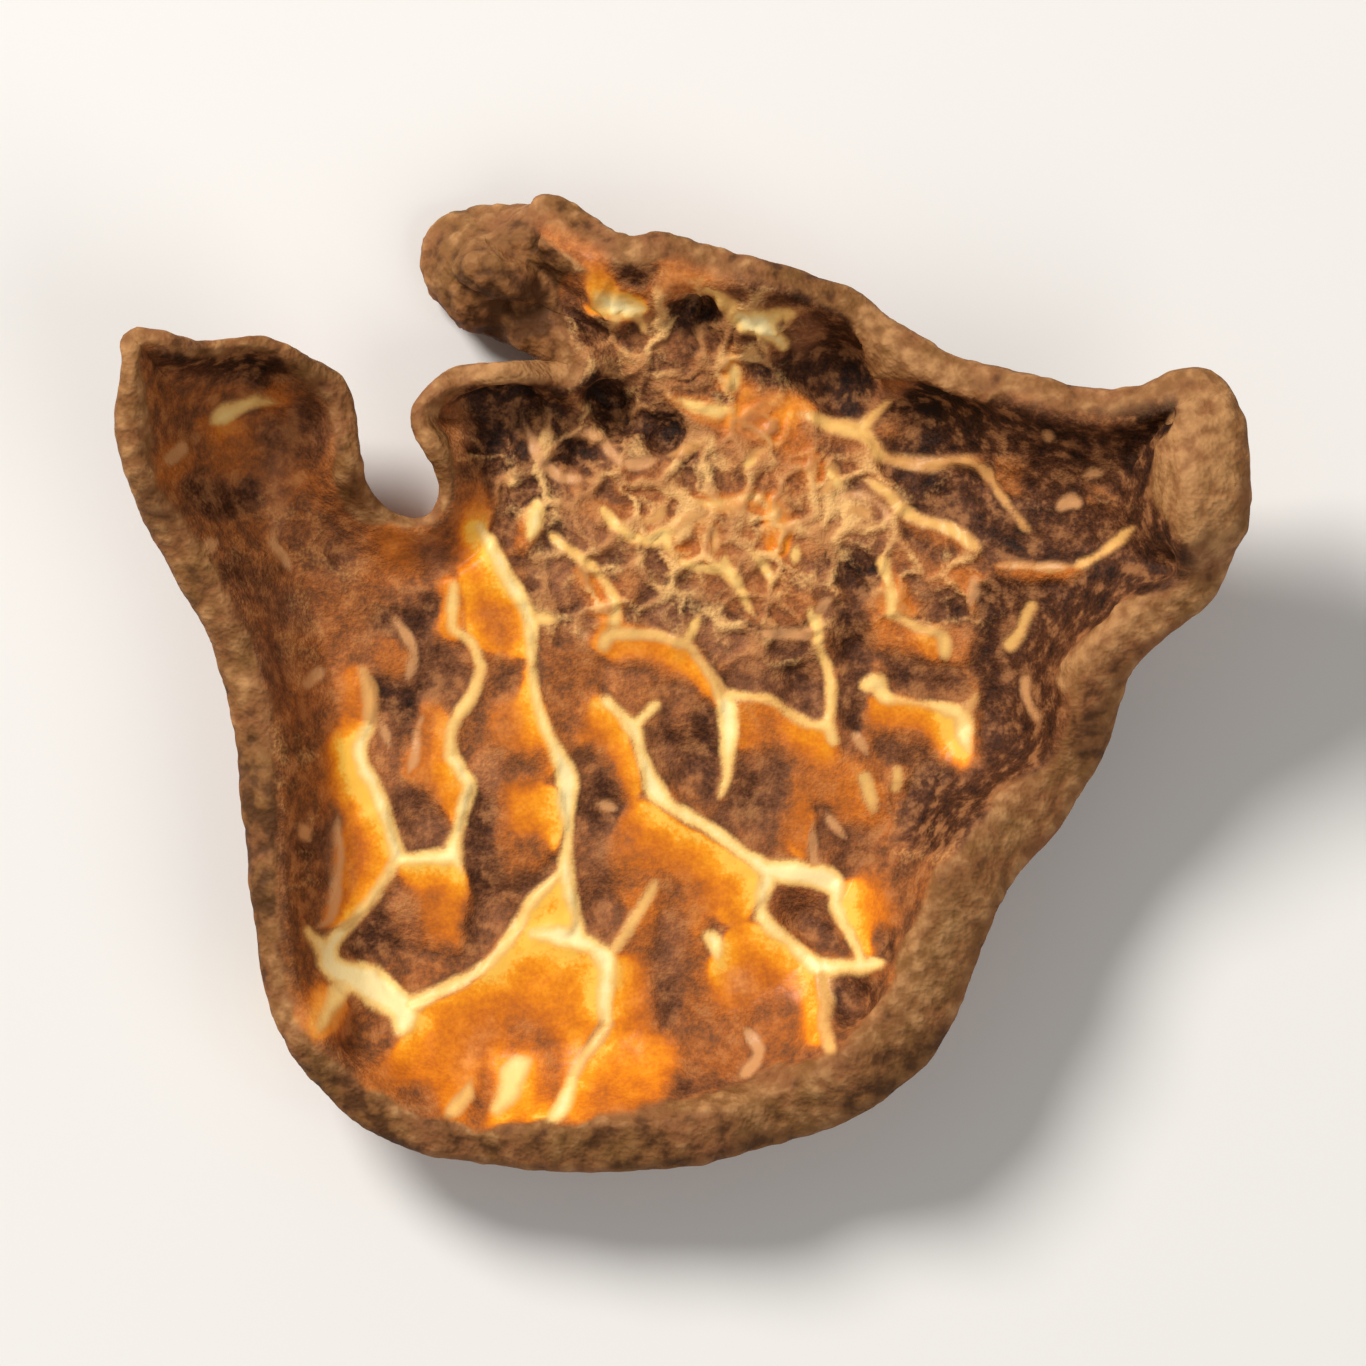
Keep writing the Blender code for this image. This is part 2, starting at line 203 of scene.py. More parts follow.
pieces = [slab_from_outline()]
pieces += [ball(x, y, z, (a, b, c)) for x, y, z, a, b, c in LUMPS]
strip_points = smooth_points(STRIP, STRIP_STEPS, False)
pieces += [ball(x, y, z, (STRIP_RADIUS,) * 3) for x, y, z in strip_points]
bpy.ops.object.select_all(action="DESELECT")
for piece in pieces:
    piece.select_set(True)
bpy.context.view_layer.objects.active = pieces[0]
bpy.ops.object.join()
bpy.ops.object.transform_apply(location=True, rotation=True, scale=True)
truffle = bpy.context.view_layer.objects.active
truffle.name = "dried_truffle_slice"
print("blank joined from", len(pieces), "shapes")

# %% [markdown]
# ## An even skin, finer where it shows
#
# A viewer looks at the cut face and at the edge around it, so their squares are split once more
# than those of the underside. That spends the faces where the veins and the grain of the skin are.

# %% Voxel skin, finer where it shows
SKIN_VOXEL = 0.158
SOFTENING = 10
UNDERSIDE_TILT = -0.5


def voxel_skin(obj, voxel):
    """Replace the object's mesh by one even, closed skin."""
    remesh = obj.modifiers.new("one skin", "REMESH")
    remesh.mode = "VOXEL"
    remesh.voxel_size = voxel
    soften = obj.modifiers.new("worn edges", "SMOOTH")
    soften.factor = 0.5
    soften.iterations = SOFTENING
    mesh = evaluated_mesh(obj)
    obj.modifiers.clear()
    obj.data = mesh


def split_shown_faces(mesh):
    """Split each square of the cut face and the edge in four. The underside keeps its squares."""
    grid = bmesh.new()
    grid.from_mesh(mesh)
    shown = [face for face in grid.faces if face.normal.z > UNDERSIDE_TILT]
    edges = list({edge for face in shown for edge in face.edges})
    bmesh.ops.subdivide_edges(grid, edges=edges, cuts=1, use_grid_fill=True)
    grid.to_mesh(mesh)
    grid.free()


voxel_skin(truffle, SKIN_VOXEL)
split_shown_faces(truffle.data)
triangle_count = sum(len(face.vertices) - 2 for face in truffle.data.polygons)
print("skin of", len(truffle.data.vertices), "points and", triangle_count, "triangles")

# %% [markdown]
# ## Helpers for soft fields
#
# Shapes and colours are worked out as fields over the slice, seen from above: one number for each
# point of a fine grid. Noise gives the lumps that no hand would place one by one, and the borders
# of a net of cells give the folds of crinkled flesh.

# %% Noise, cells and sampling
TABLE = 64


def soft_noise(x, y, size, seed):
    """Seeded smooth bumps about `size` across, from -1 to 1."""
    lattice = np.random.RandomState(seed).uniform(-1, 1, (TABLE, TABLE))
    u, v = x / size + TABLE / 2, y / size + TABLE / 2
    i, j = np.floor(u).astype(int), np.floor(v).astype(int)
    u, v = u - i, v - j
    u, v = u * u * (3 - 2 * u), v * v * (3 - 2 * v)
    i, j, i2, j2 = i % TABLE, j % TABLE, (i + 1) % TABLE, (j + 1) % TABLE
    near = lattice[i, j] * (1 - u) + lattice[i2, j] * u
    far = lattice[i, j2] * (1 - u) + lattice[i2, j2] * u
    return near * (1 - v) + far * v


def cell_net(x, y, size, seed):
    """Distance to the nearest border of a net of uneven cells."""
    centres = np.random.RandomState(seed).uniform(0, 1, (TABLE, TABLE, 3))[..., :2]
    u, v = x / size + TABLE / 2, y / size + TABLE / 2
    i, j = np.floor(u).astype(int), np.floor(v).astype(int)
    first, second = np.full(x.shape, 9.0), np.full(x.shape, 9.0)
    for di in (-1, 0, 1):
        for dj in (-1, 0, 1):
            centre = centres[(i + di) % TABLE, (j + dj) % TABLE]
            away = np.hypot(u - i - di - centre[..., 0], v - j - dj - centre[..., 1])
            second = np.where(away < first, first, np.minimum(second, away))
            first = np.minimum(first, away)
    return (second - first) / 2 * size


def step_between(low, high, value):
    """0 below `low`, 1 above `high`, smooth between. It runs backwards if low is above high."""
    t = np.clip((value - low) / (high - low), 0, 1)
    return t * t * (3 - 2 * t)


def loop_distance(x, y, points):
    """Signed distance to a closed loop, below nought inside it."""
    distance = np.full(x.shape, 99.0)
    within = np.zeros(x.shape, bool)
    for (ax, ay), (bx, by) in zip(points, points[1:] + points[:1]):
        dx, dy = bx - ax, by - ay
        along = np.clip(((x - ax) * dx + (y - ay) * dy) / (dx * dx + dy * dy), 0, 1)
        distance = np.minimum(distance, np.hypot(x - ax - along * dx, y - ay - along * dy))
        if ay != by:
            within ^= ((ay > y) != (by > y)) & (x < dx * (y - ay) / dy + ax)
    return np.where(within, -distance, distance)


GRID_MARGIN = 2.0
GRID_LOW = loop.min(0) - GRID_MARGIN
GRID_HIGH = loop.max(0) + GRID_MARGIN


def make_grid(step):
    xs = np.arange(GRID_LOW[0], GRID_HIGH[0], step)
    ys = np.arange(GRID_LOW[1], GRID_HIGH[1], step)
    return np.meshgrid(xs, ys, indexing="ij")


def sample(field, step, x, y):
    """Value of a gridded field at the points, straight between its corners."""
    u, v = (x - GRID_LOW[0]) / step, (y - GRID_LOW[1]) / step
    i = np.clip(np.floor(u).astype(int), 0, field.shape[0] - 2)
    j = np.clip(np.floor(v).astype(int), 0, field.shape[1] - 2)
    u, v = np.clip(u - i, 0, 1), np.clip(v - j, 0, 1)
    near = field[i, j] * (1 - u) + field[i + 1, j] * u
    far = field[i, j + 1] * (1 - u) + field[i + 1, j + 1] * u
    return near * (1 - v) + far * v


# %% [markdown]
# ## How the slice curled
#
# Skin dries harder than flesh and pulls the rim up, so the slice is a shallow dish. The height of
# its middle surface is a field: nought in the middle, rising to a lip along the edge. Each entry of
# LIPS gives the lip's height, the thickness of the edge and the width of the bend at one place,
# and the values blend between the places. Where the lip is steep, its edge faces upwards and shows
# as a broad band. RISES lifts three wider areas: the wing, the horn and the torn top edge.

# %% The curl as a field
MIDDLE_THICKNESS = 1.35
LIPS = [
    (-12.4, 7.9, 3.6, 0.60, 2.2),
    (-9.8, 8.1, 3.0, 0.42, 2.0),
    (-7.7, 6.2, 2.2, 0.75, 1.6),
    (-6.4, 4.1, 1.3, 0.50, 1.6),
    (-6.0, 6.5, 2.0, 0.50, 1.5),
    (-4.0, 7.5, 2.2, 0.50, 1.5),
    (-2.5, 7.6, 1.1, 1.00, 1.5),
    (-3.3, 8.3, 0.7, 1.30, 1.2),
    (-4.3, 8.6, 0.3, 1.60, 1.2),
    (-5.4, 9.6, 0.3, 1.70, 1.4),
    (-4.7, 10.9, 0.4, 1.70, 1.4),
    (-3.1, 11.0, 1.1, 1.50, 1.6),
    (-1.0, 10.3, 1.5, 1.05, 2.0),
    (3.0, 9.3, 2.1, 0.90, 2.2),
    (6.0, 7.5, 2.6, 1.00, 2.4),
    (9.4, 6.8, 3.0, 1.10, 2.4),
    (11.8, 5.0, 4.0, 2.00, 2.4),
    (10.6, 1.8, 2.8, 1.30, 2.2),
    (9.2, -0.7, 2.5, 1.45, 2.2),
    (7.0, -3.6, 3.0, 1.95, 2.6),
    (5.2, -7.3, 3.0, 1.90, 2.6),
    (0.0, -10.1, 2.4, 1.50, 2.6),
    (-6.0, -9.9, 2.2, 1.15, 2.3),
    (-9.4, -5.5, 2.4, 1.00, 2.2),
    (-9.9, -0.5, 2.5, 1.20, 2.2),
    (-11.2, 2.8, 2.8, 1.10, 2.2),
    (-12.5, 6.0, 3.4, 0.80, 2.2),
]
LIP_POWER = 2.0
RISES = [(12.5, 4.6, 2.2, 8.8), (-13.0, 7.0, 1.8, 8.0), (0.0, 11.0, 1.2, 5.12)]
LIP_BLEND = 0.5
LIP_OVERSHOOT = 1.35
EDGE_PARTS = 4
EDGE_SOFTNESS = 0.04
EXACT_BELOW, SOFT_ABOVE = 0.1, 0.9
CURL_STEP = 0.12


def edge_distance(x, y):
    """Distance to the edge, positive inside. It turns soft inwards, so it has no creases."""
    following = np.roll(loop, -1, 0)
    parts = [loop + (following - loop) * k / EDGE_PARTS for k in range(EDGE_PARTS)]
    lengths = np.tile(np.linalg.norm(following - loop, axis=1) / EDGE_PARTS, EDGE_PARTS)
    pull = np.zeros(x.shape)
    for (px, py), length in zip(np.concatenate(parts), lengths):
        pull += length / ((x - px) ** 2 + (y - py) ** 2 + EDGE_SOFTNESS ** 2) ** 2
    soft = (np.pi / (2 * pull)) ** (1 / 3)
    exact = -loop_distance(x, y, [tuple(point) for point in loop])
    return exact + (soft - exact) * step_between(EXACT_BELOW, SOFT_ABOVE, exact)


def lip_values(x, y):
    """Height, thickness and width of the lip, each blended from the entries of LIPS nearby."""
    total = np.zeros(x.shape)
    values = np.zeros((3,) + x.shape)
    for px, py, height, thickness, width in LIPS:
        weight = 1 / ((x - px) ** 2 + (y - py) ** 2 + LIP_BLEND ** 2) ** 2
        total += weight
        for k, value in enumerate((height, thickness, width)):
            values[k] += weight * value
    return values / total


cx, cy = make_grid(CURL_STEP)
edge_field = edge_distance(cx, cy)
lip_height, lip_thickness, lip_width = lip_values(cx, cy)
rim = np.clip(1 - edge_field / lip_width, 0, LIP_OVERSHOOT)
wave = 1 + 0.12 * soft_noise(cx, cy, 2.3, 3) + 0.06 * soft_noise(cx, cy, 1.1, 4)
middle_field = lip_height * wave * rim ** LIP_POWER
for px, py, rise, radius in RISES:
    away = np.clip(1 - np.hypot(cx - px, cy - py) / radius, 0, 1)
    middle_field += rise * away ** 2 * (3 - 2 * away)
middle_field += 0.14 * soft_noise(cx, cy, 2.6, 7) * np.clip(rim * 2, 0, 1)
blend = np.clip(rim, 0, 1) ** 0.5
thickness_field = MIDDLE_THICKNESS + (lip_thickness - MIDDLE_THICKNESS) * blend
slope_x, slope_y = np.gradient(middle_field, CURL_STEP)
print("rim rises to", round(float(middle_field[edge_field > 0].max()), 2), "mm")

# %% [markdown]
# ## The veins, drawn as strokes
#
# The marbling is what tells a truffle, and its main veins are as particular as a fingerprint. Each
# vein is a stroke through a few points (x, y, half width), like a line from a brush, with a tone
# from 1 for cream to 0 for a dull pink. An image could hold them too, but strokes stay sharp at any
# size and can be moved by hand.

# %% Strokes of the veins
CREAM, PALE, GOLD, TAN, PINK = 1.0, 0.8, 0.62, 0.42, 0.15
VEINS = [
    (CREAM, [(-4.75, 3.95, .08), (-4.45, 3.5, .13), (-4.18, 2.94, .15), (-3.92, 2.5, .15),
             (-3.68, 2.1, .14), (-3.55, 1.75, .15), (-3.53, 1.3, .11), (-3.53, .8, .09),
             (-3.48, .35, .09), (-3.33, -.25, .09), (-3.15, -.8, .11), (-2.92, -1.3, .16),
             (-2.72, -1.8, .24), (-2.74, -2.25, .2), (-2.7, -2.85, .12), (-2.73, -3.45, .13),
             (-2.76, -4.0, .17), (-2.6, -4.6, .12), (-2.5, -5.1, .13), (-2.5, -5.5, .2)]),
    (PALE, [(-2.8, -3.9, .12), (-3.2, -4.3, .1), (-3.55, -4.65, .13), (-3.8, -5.1, .15),
             (-4.25, -5.75, .12), (-4.65, -6.15, .11), (-5.2, -6.45, .12), (-5.7, -6.7, .14),
             (-6.1, -6.88, .2), (-6.45, -7.05, .3)]),
    (CREAM, [(-3.5, -5.35, .1), (-2.9, -5.4, .22), (-2.5, -5.5, .2), (-2.15, -5.62, .16),
             (-1.85, -5.9, .22), (-1.8, -6.3, .2), (-1.88, -6.9, .14), (-1.82, -7.4, .13)]),
    (GOLD, [(-1.82, -7.4, .14), (-2.05, -7.8, .13), (-2.4, -8.2, .12), (-2.58, -8.6, .11)]),
    (CREAM, [(-2.58, -8.6, .1), (-2.72, -9.05, .14), (-2.9, -9.4, .16), (-3.2, -9.65, .08)]),
    (TAN, [(-7.35, .65, .1), (-7.25, .3, .12), (-7.18, -.1, .12), (-7.2, -.6, .13)]),
    (CREAM, [(-7.2, -.6, .13), (-7.42, -1.05, .18), (-7.38, -1.45, .17), (-7.08, -2.0, .15),
             (-6.9, -2.55, .14), (-6.72, -3.05, .14), (-6.55, -3.6, .18)]),
    (CREAM, [(-6.55, -3.62, .15), (-6.0, -3.64, .13), (-5.5, -3.57, .19), (-5.3, -3.55, .2)]),
    (PALE, [(-6.6, -3.7, .12), (-7.0, -4.3, .11), (-7.42, -4.85, .12), (-7.78, -5.26, .14)]),
    (CREAM, [(-7.78, -5.26, .14), (-8.1, -5.65, .2), (-8.05, -6.1, .24), (-7.6, -6.3, .33),
             (-7.2, -6.45, .38), (-6.8, -6.8, .33), (-6.45, -7.05, .33), (-6.45, -7.4, .2),
             (-6.5, -7.75, .06)]),
    (CREAM, [(-8.6, -5.25, .08), (-8.35, -5.55, .14), (-8.1, -5.9, .2)]),
    (PALE, [(-7.8, -6.5, .24), (-8.1, -7.0, .16), (-8.3, -7.4, .1), (-8.4, -7.7, .05)]),
    (PINK, [(-7.9, -2.6, .05), (-7.92, -3.2, .06), (-7.9, -3.8, .06), (-8.0, -4.5, .07),
            (-8.1, -5.0, .08), (-8.5, -5.25, .06)]),
    (PALE, [(-5.3, 2.55, .08), (-5.33, 2.0, .11), (-5.3, 1.6, .1), (-4.95, 1.35, .08),
            (-4.75, .95, .1), (-4.7, .6, .11), (-4.88, .1, .12), (-5.2, -.36, .13),
            (-5.36, -.8, .12), (-5.35, -1.3, .1)]),
    (CREAM, [(-5.35, -1.3, .1), (-5.12, -1.65, .13), (-4.95, -1.98, .16), (-5.05, -2.35, .13),
             (-5.18, -2.95, .12), (-5.33, -3.45, .19), (-5.2, -3.75, .1), (-4.98, -4.15, .05)]),
    (PINK, [(-6.75, 2.0, .05), (-6.6, 1.75, .07), (-6.35, 1.4, .08), (-6.22, 1.1, .08),
            (-6.28, .7, .07), (-6.4, .3, .05)]),
    (CREAM, [(-2.05, .1, .07), (-1.85, -.05, .1), (-1.64, -.24, .1), (-1.4, -.45, .13),
             (-1.22, -.65, .18), (-1.1, -.95, .13), (-1.0, -1.36, .11), (-.85, -1.75, .15),
             (-.68, -2.15, .22), (-.3, -2.5, .15), (.2, -2.75, .12), (.6, -3.0, .12),
             (1.0, -3.3, .12), (1.42, -3.6, .14), (1.8, -3.9, .2)]),
    (CREAM, [(-.62, 0, .06), (-.72, -.15, .1), (-.95, -.4, .1), (-1.2, -.62, .14)]),
    (PALE, [(-3.2, 3.9, .06), (-3.0, 3.65, .1), (-2.76, 3.45, .1), (-2.35, 3.18, .08),
            (-2.0, 2.83, .08), (-1.72, 2.42, .09), (-1.58, 2.05, .1), (-1.65, 1.75, .12)]),
    (PALE, [(-3.5, 1.85, .12), (-3.2, 1.82, .1), (-2.9, 1.75, .07)]),
    (PINK, [(-2.5, 1.75, .06), (-2.35, 1.45, .08), (-2.25, 1.25, .05)]),
    (GOLD, [(-1.9, 1.2, .1), (-1.75, 1.45, .13), (-1.3, 1.47, .1), (-.7, 1.47, .09),
            (-.25, 1.28, .11), (.05, 1.2, .12), (.3, .85, .1), (.6, .42, .1), (.8, .05, .14)]),
    (CREAM, [(.8, .05, .12), (.92, -.15, .2), (.95, -.6, .2), (.95, -1.2, .15),
             (.92, -1.75, .1), (.78, -2.15, .07), (.7, -2.4, .04)]),
    (PALE, [(.05, 1.35, .08), (.2, 1.7, .09), (.32, 1.95, .05)]),
    (PALE, [(1.0, .08, .12), (1.4, .05, .09), (1.85, 0, .09), (2.2, -.22, .09),
            (2.55, -.45, .1), (2.9, -.6, .08), (3.2, -.6, .12), (3.35, -.95, .08)]),
    (PALE, [(3.2, -.6, .12), (3.25, -.25, .1), (3.3, .25, .1), (3.2, .7, .08),
            (3.05, 1.1, .08), (2.95, 1.5, .1), (2.9, 1.95, .13), (2.7, 2.1, .05)]),
    (PINK, [(2.9, 1.95, .1), (3.15, 2.15, .07), (3.35, 2.35, .05)]),
    (PINK, [(1.5, 1.52, .06), (2.0, 1.5, .09), (2.5, 1.47, .09), (2.9, 1.5, .1)]),
    (PINK, [(3.7, -.7, .06), (3.95, -1.0, .1), (4.15, -1.35, .05)]),
    (GOLD, [(4.05, -1.8, .13), (4.2, -2.3, .15), (4.2, -2.75, .07)]),
    (GOLD, [(4.8, -1.65, .1), (4.75, -2.0, .1), (4.55, -2.1, .05)]),
    (PINK, [(3.1, -2.5, .05), (3.35, -2.85, .09), (3.65, -3.2, .07)]),
    (PINK, [(2.9, -2.6, .05), (2.85, -3.2, .08), (2.9, -3.75, .12)]),
    (CREAM, [(1.8, -3.9, .18), (2.13, -3.92, .27), (2.7, -3.98, .26), (3.15, -4.1, .29),
             (3.4, -4.35, .2), (3.4, -4.75, .12), (3.6, -5.15, .12), (3.85, -5.6, .1),
             (3.95, -6.0, .14)]),
    (CREAM, [(1.85, -4.1, .2), (1.7, -4.6, .14), (1.75, -5.0, .16), (2.05, -5.3, .14),
             (2.4, -5.6, .12), (2.75, -5.9, .14), (3.05, -6.13, .2), (3.5, -6.05, .14),
             (3.95, -6.05, .14), (4.35, -6.0, .08)]),
    (GOLD, [(3.08, -6.2, .15), (3.12, -6.7, .09), (3.12, -7.3, .09), (3.25, -7.9, .11),
            (3.5, -8.35, .11)]),
    (GOLD, [(-.72, -4.2, .08), (-.85, -4.45, .11), (-1.05, -4.8, .1), (-1.3, -5.2, .1),
            (-1.6, -5.65, .11)]),
    (CREAM, [(.3, -5.33, .07), (.6, -5.45, .17), (.7, -5.8, .1), (.65, -6.15, .05)]),
    (PINK, [(1.2, -7.4, .06), (1.5, -7.7, .1), (1.62, -8.05, .1), (1.35, -8.4, .1),
            (1.1, -8.55, .05)]),
    (PALE, [(-3.65, -8.3, .13), (-3.9, -8.5, .30), (-4.05, -8.9, .27), (-4.3, -9.35, .12)]),
    (GOLD, [(-4.85, -8.5, .06), (-5.0, -9.0, .11), (-5.3, -9.35, .12), (-5.5, -9.6, .05)]),
    (CREAM, [(-3.4, 4.65, .05), (-3.42, 4.25, .16), (-3.5, 3.85, .15), (-3.6, 3.5, .05)]),
    (GOLD, [(2.4, 6.5, .07), (2.8, 6.42, .12), (3.13, 6.28, .13), (3.5, 6.15, .16),
            (3.95, 6.05, .16), (4.15, 5.85, .12), (4.4, 5.5, .13)]),
    (TAN, [(4.4, 5.5, .11), (4.8, 5.38, .09), (5.4, 5.27, .08), (6.0, 5.3, .07),
            (6.5, 5.3, .09), (6.85, 5.0, .08), (7.12, 4.6, .08), (7.38, 4.25, .07),
            (7.7, 3.85, .05), (7.85, 3.7, .03)]),
    (GOLD, [(4.0, 6.15, .12), (4.3, 6.5, .09), (4.7, 6.72, .05)]),
    (GOLD, [(3.9, 5.05, .07), (4.25, 4.9, .1), (4.6, 4.65, .13), (4.85, 4.35, .13),
            (5.2, 4.12, .12), (5.7, 3.95, .13), (6.1, 3.78, .13), (6.5, 3.5, .1),
            (6.75, 3.3, .04)]),
    (TAN, [(6.95, 3.0, .05), (7.3, 3.05, .06), (7.8, 3.0, .04), (8.4, 2.97, .07),
            (8.85, 3.0, .05)]),
    (GOLD, [(8.95, 3.05, .08), (9.2, 3.2, .05), (9.5, 3.4, .08), (9.85, 3.75, .09),
             (10.15, 3.95, .05)]),
    (GOLD, [(7.8, 2.1, .11), (7.65, 1.8, .1), (7.5, 1.45, .09), (7.3, 1.22, .13)]),
    (PALE, [(4.5, 3.1, .12), (4.55, 2.8, .07), (4.68, 2.35, .1), (4.7, 1.95, .1)]),
    (GOLD, [(4.7, 1.95, .1), (5.0, 1.78, .08), (5.35, 1.58, .09), (5.8, 1.48, .1),
            (5.88, 1.1, .11), (5.9, .8, .06)]),
    (PINK, [(6.55, 2.7, .09), (6.5, 2.3, .09), (6.4, 2.05, .05)]),
    (PALE, [(4.12, .3, .16), (4.35, .35, .2), (4.5, .05, .13), (5.0, -.05, .07),
             (5.5, -.12, .09), (5.9, -.22, .15), (6.25, -.35, .2), (6.3, -.75, .2),
             (6.4, -1.1, .1), (6.5, -1.3, .05)]),
    (TAN, [(6.35, -.25, .15), (6.55, .05, .09), (6.6, .35, .05)]),
    (PINK, [(7.62, .45, .08), (7.65, .05, .06), (7.85, -.4, .08)]),
    (GOLD, [(.45, 9.25, .12), (.8, 9.05, .15), (1.1, 8.78, .17)]),
    (CREAM, [(1.1, 8.78, .17), (1.45, 8.6, .25), (1.75, 8.5, .22), (2.0, 8.25, .13),
             (2.2, 8.0, .1)]),
    (PALE, [(1.85, 8.6, .12), (2.1, 8.7, .1), (2.4, 8.75, .08)]),
    (PALE, [(1.05, 7.7, .06), (1.08, 7.4, .13), (1.05, 7.1, .1)]),
    (PALE, [(-.35, 6.85, .06), (0, 6.75, .1), (.35, 6.6, .12), (.75, 6.55, .13),
             (1.2, 6.6, .06)]),
    (PALE, [(-10.9, 6.2, .05), (-10.6, 6.4, .17), (-10.3, 6.52, .14), (-9.9, 6.68, .09),
            (-9.5, 6.75, .08), (-9.1, 6.7, .04)]),
    (PINK, [(-11.7, 5.4, .1), (-11.45, 5.65, .1), (-11.4, 5.95, .05)]),
    (PINK, [(-3.8, 6.35, .06), (-3.5, 5.85, .08), (-3.3, 5.4, .08), (-2.9, 5.08, .1),
            (-2.5, 5.0, .08)]),
    (PINK, [(-2.5, 6.05, .08), (-1.95, 5.95, .08), (-1.75, 5.65, .08), (-1.45, 5.38, .08),
            (-.9, 5.38, .09), (-.5, 5.5, .05)]),
    (PINK, [(3.3, 4.35, .05), (3.6, 4.62, .04), (4.1, 4.6, .04), (4.5, 4.3, .04),
            (4.62, 3.9, .04), (4.5, 3.5, .05)]),
    (PALE, [(.9, 3.3, .07), (.9, 2.95, .14), (1.2, 2.55, .09), (1.4, 2.1, .07),
            (1.65, 1.7, .05)]),
    (CREAM, [(-2.1, 9.35, .05), (-1.8, 9.1, .16), (-1.5, 8.95, .24), (-1.1, 8.85, .14),
            (-.75, 8.95, .05)]),
    (GOLD, [(-1.5, 8.95, .18), (-1.6, 8.6, .1), (-1.8, 8.3, .04)]),
    (GOLD, [(-1.2, 8.85, .12), (-1.0, 8.5, .08), (-1.05, 8.2, .04)]),
    (PALE, [(1.2, 3.6, .06), (1.6, 3.2, .1), (1.85, 2.85, .09), (1.95, 2.4, .06)]),
    (PALE, [(2.5, 3.6, .05), (2.48, 3.3, .1), (2.45, 2.95, .04)]),
    (PALE, [(-1.9, 4.3, .08), (-1.6, 3.95, .1), (-1.2, 3.65, .1), (-.8, 3.6, .1),
            (-.5, 3.75, .13), (-.4, 3.4, .07), (-.1, 3.1, .06), (.3, 3.0, .07),
            (.8, 2.95, .1)]),
    (PALE, [(3.1, 5.4, .06), (3.3, 5.1, .12), (3.4, 4.9, .08)]),
    (PALE, [(1.3, 5.1, .06), (1.45, 5.4, .09), (1.75, 5.65, .06)]),
    (PINK, [(8.85, 4.95, .07), (9.2, 5.08, .08), (9.55, 5.1, .05)]),
    (PINK, [(8.5, 4.4, .1), (8.65, 4.45, .12), (8.8, 4.4, .08)]),
    (PINK, [(8.0, 5.95, .06), (8.15, 5.85, .11), (8.25, 5.75, .06)]),
    (PINK, [(-8.6, .35, .1), (-8.45, .5, .13), (-8.35, .6, .08)]),
    (PINK, [(-8.75, -2.75, .05), (-8.6, -3.05, .1), (-8.4, -3.3, .06)]),
    (PINK, [(-10.9, 3.35, .1), (-10.75, 3.5, .14), (-10.6, 3.6, .06)]),
    (PINK, [(-9.45, 3.9, .06), (-9.4, 3.5, .1), (-9.1, 3.15, .08), (-8.95, 2.85, .05)]),
    (PINK, [(-2.1, -2.35, .07), (-1.8, -2.45, .09), (-1.5, -2.5, .05)]),
    (PINK, [(-7.0, -.35, .05), (-6.85, -.8, .07), (-6.75, -1.3, .06)]),
    (PINK, [(-5.95, -.3, .05), (-6.15, -.8, .06), (-6.2, -1.4, .06), (-6.4, -1.8, .05)]),
    (TAN, [(-.5, 5.5, .07), (.2, 5.75, .09), (.6, 6.1, .05)]),
    (TAN, [(-.4, 3.6, .06), (0, 4.1, .08), (.4, 4.1, .07), (.65, 3.6, .08), (.5, 3.1, .06)]),
    (TAN, [(-.6, 4.7, .05), (-.55, 4.3, .07), (-.8, 4.05, .07), (-1.3, 4.1, .05)]),
    (TAN, [(3.0, 5.7, .06), (3.35, 5.2, .1), (3.2, 4.8, .08), (2.8, 4.7, .05)]),
    (TAN, [(1.4, 5.1, .06), (1.45, 5.5, .09), (1.75, 5.65, .08), (2.0, 5.9, .05)]),
    (GOLD, [(0, 4.5, .05), (.5, 4.4, .08), (1.0, 4.5, .08), (1.5, 4.6, .09), (1.8, 4.4, .07),
            (2.0, 4.0, .05)]),
    (TAN, [(3.5, 4.1, .05), (3.8, 4.3, .07), (4.1, 4.2, .07), (4.3, 3.9, .05)]),
]
print(len(VEINS), "veins of", sum(len(points) for _, points in VEINS), "points")

# %% [markdown]
# ## A brush for the strokes
#
# The fields keep the signed distance to the nearest stroke's edge, so the colour can change exactly
# at that edge however close the viewer comes. Only the part of the grid near a stroke is worked on,
# which keeps it quick. A little noise is added at the end, because no vein has an even edge.

# %% Draw the strokes
DETAIL_STEP = 0.05
STROKE_STEPS = 3
THIN_END = 0.07
TAPER = 0.13
FAR = 1.2
WIGGLE = 0.03
gx, gy = make_grid(DETAIL_STEP)


def grid_window(points, reach):
    """The part of the fine grid that holds the points, with a border."""
    corners = np.array(points)[:, :2]
    low = np.floor((corners.min(0) - reach - GRID_LOW) / DETAIL_STEP).astype(int)
    high = np.ceil((corners.max(0) + reach - GRID_LOW) / DETAIL_STEP).astype(int)
    return slice(max(low[0], 0), max(high[0], 0)), slice(max(low[1], 0), max(high[1], 0))


def tapered(points):
    """The stroke with its free ends, which are the thin ones, drawn out to nothing."""
    ends = [list(point) for point in points]
    for end in (ends[0], ends[-1]):
        if end[2] <= THIN_END:
            end[2] -= TAPER
    return ends


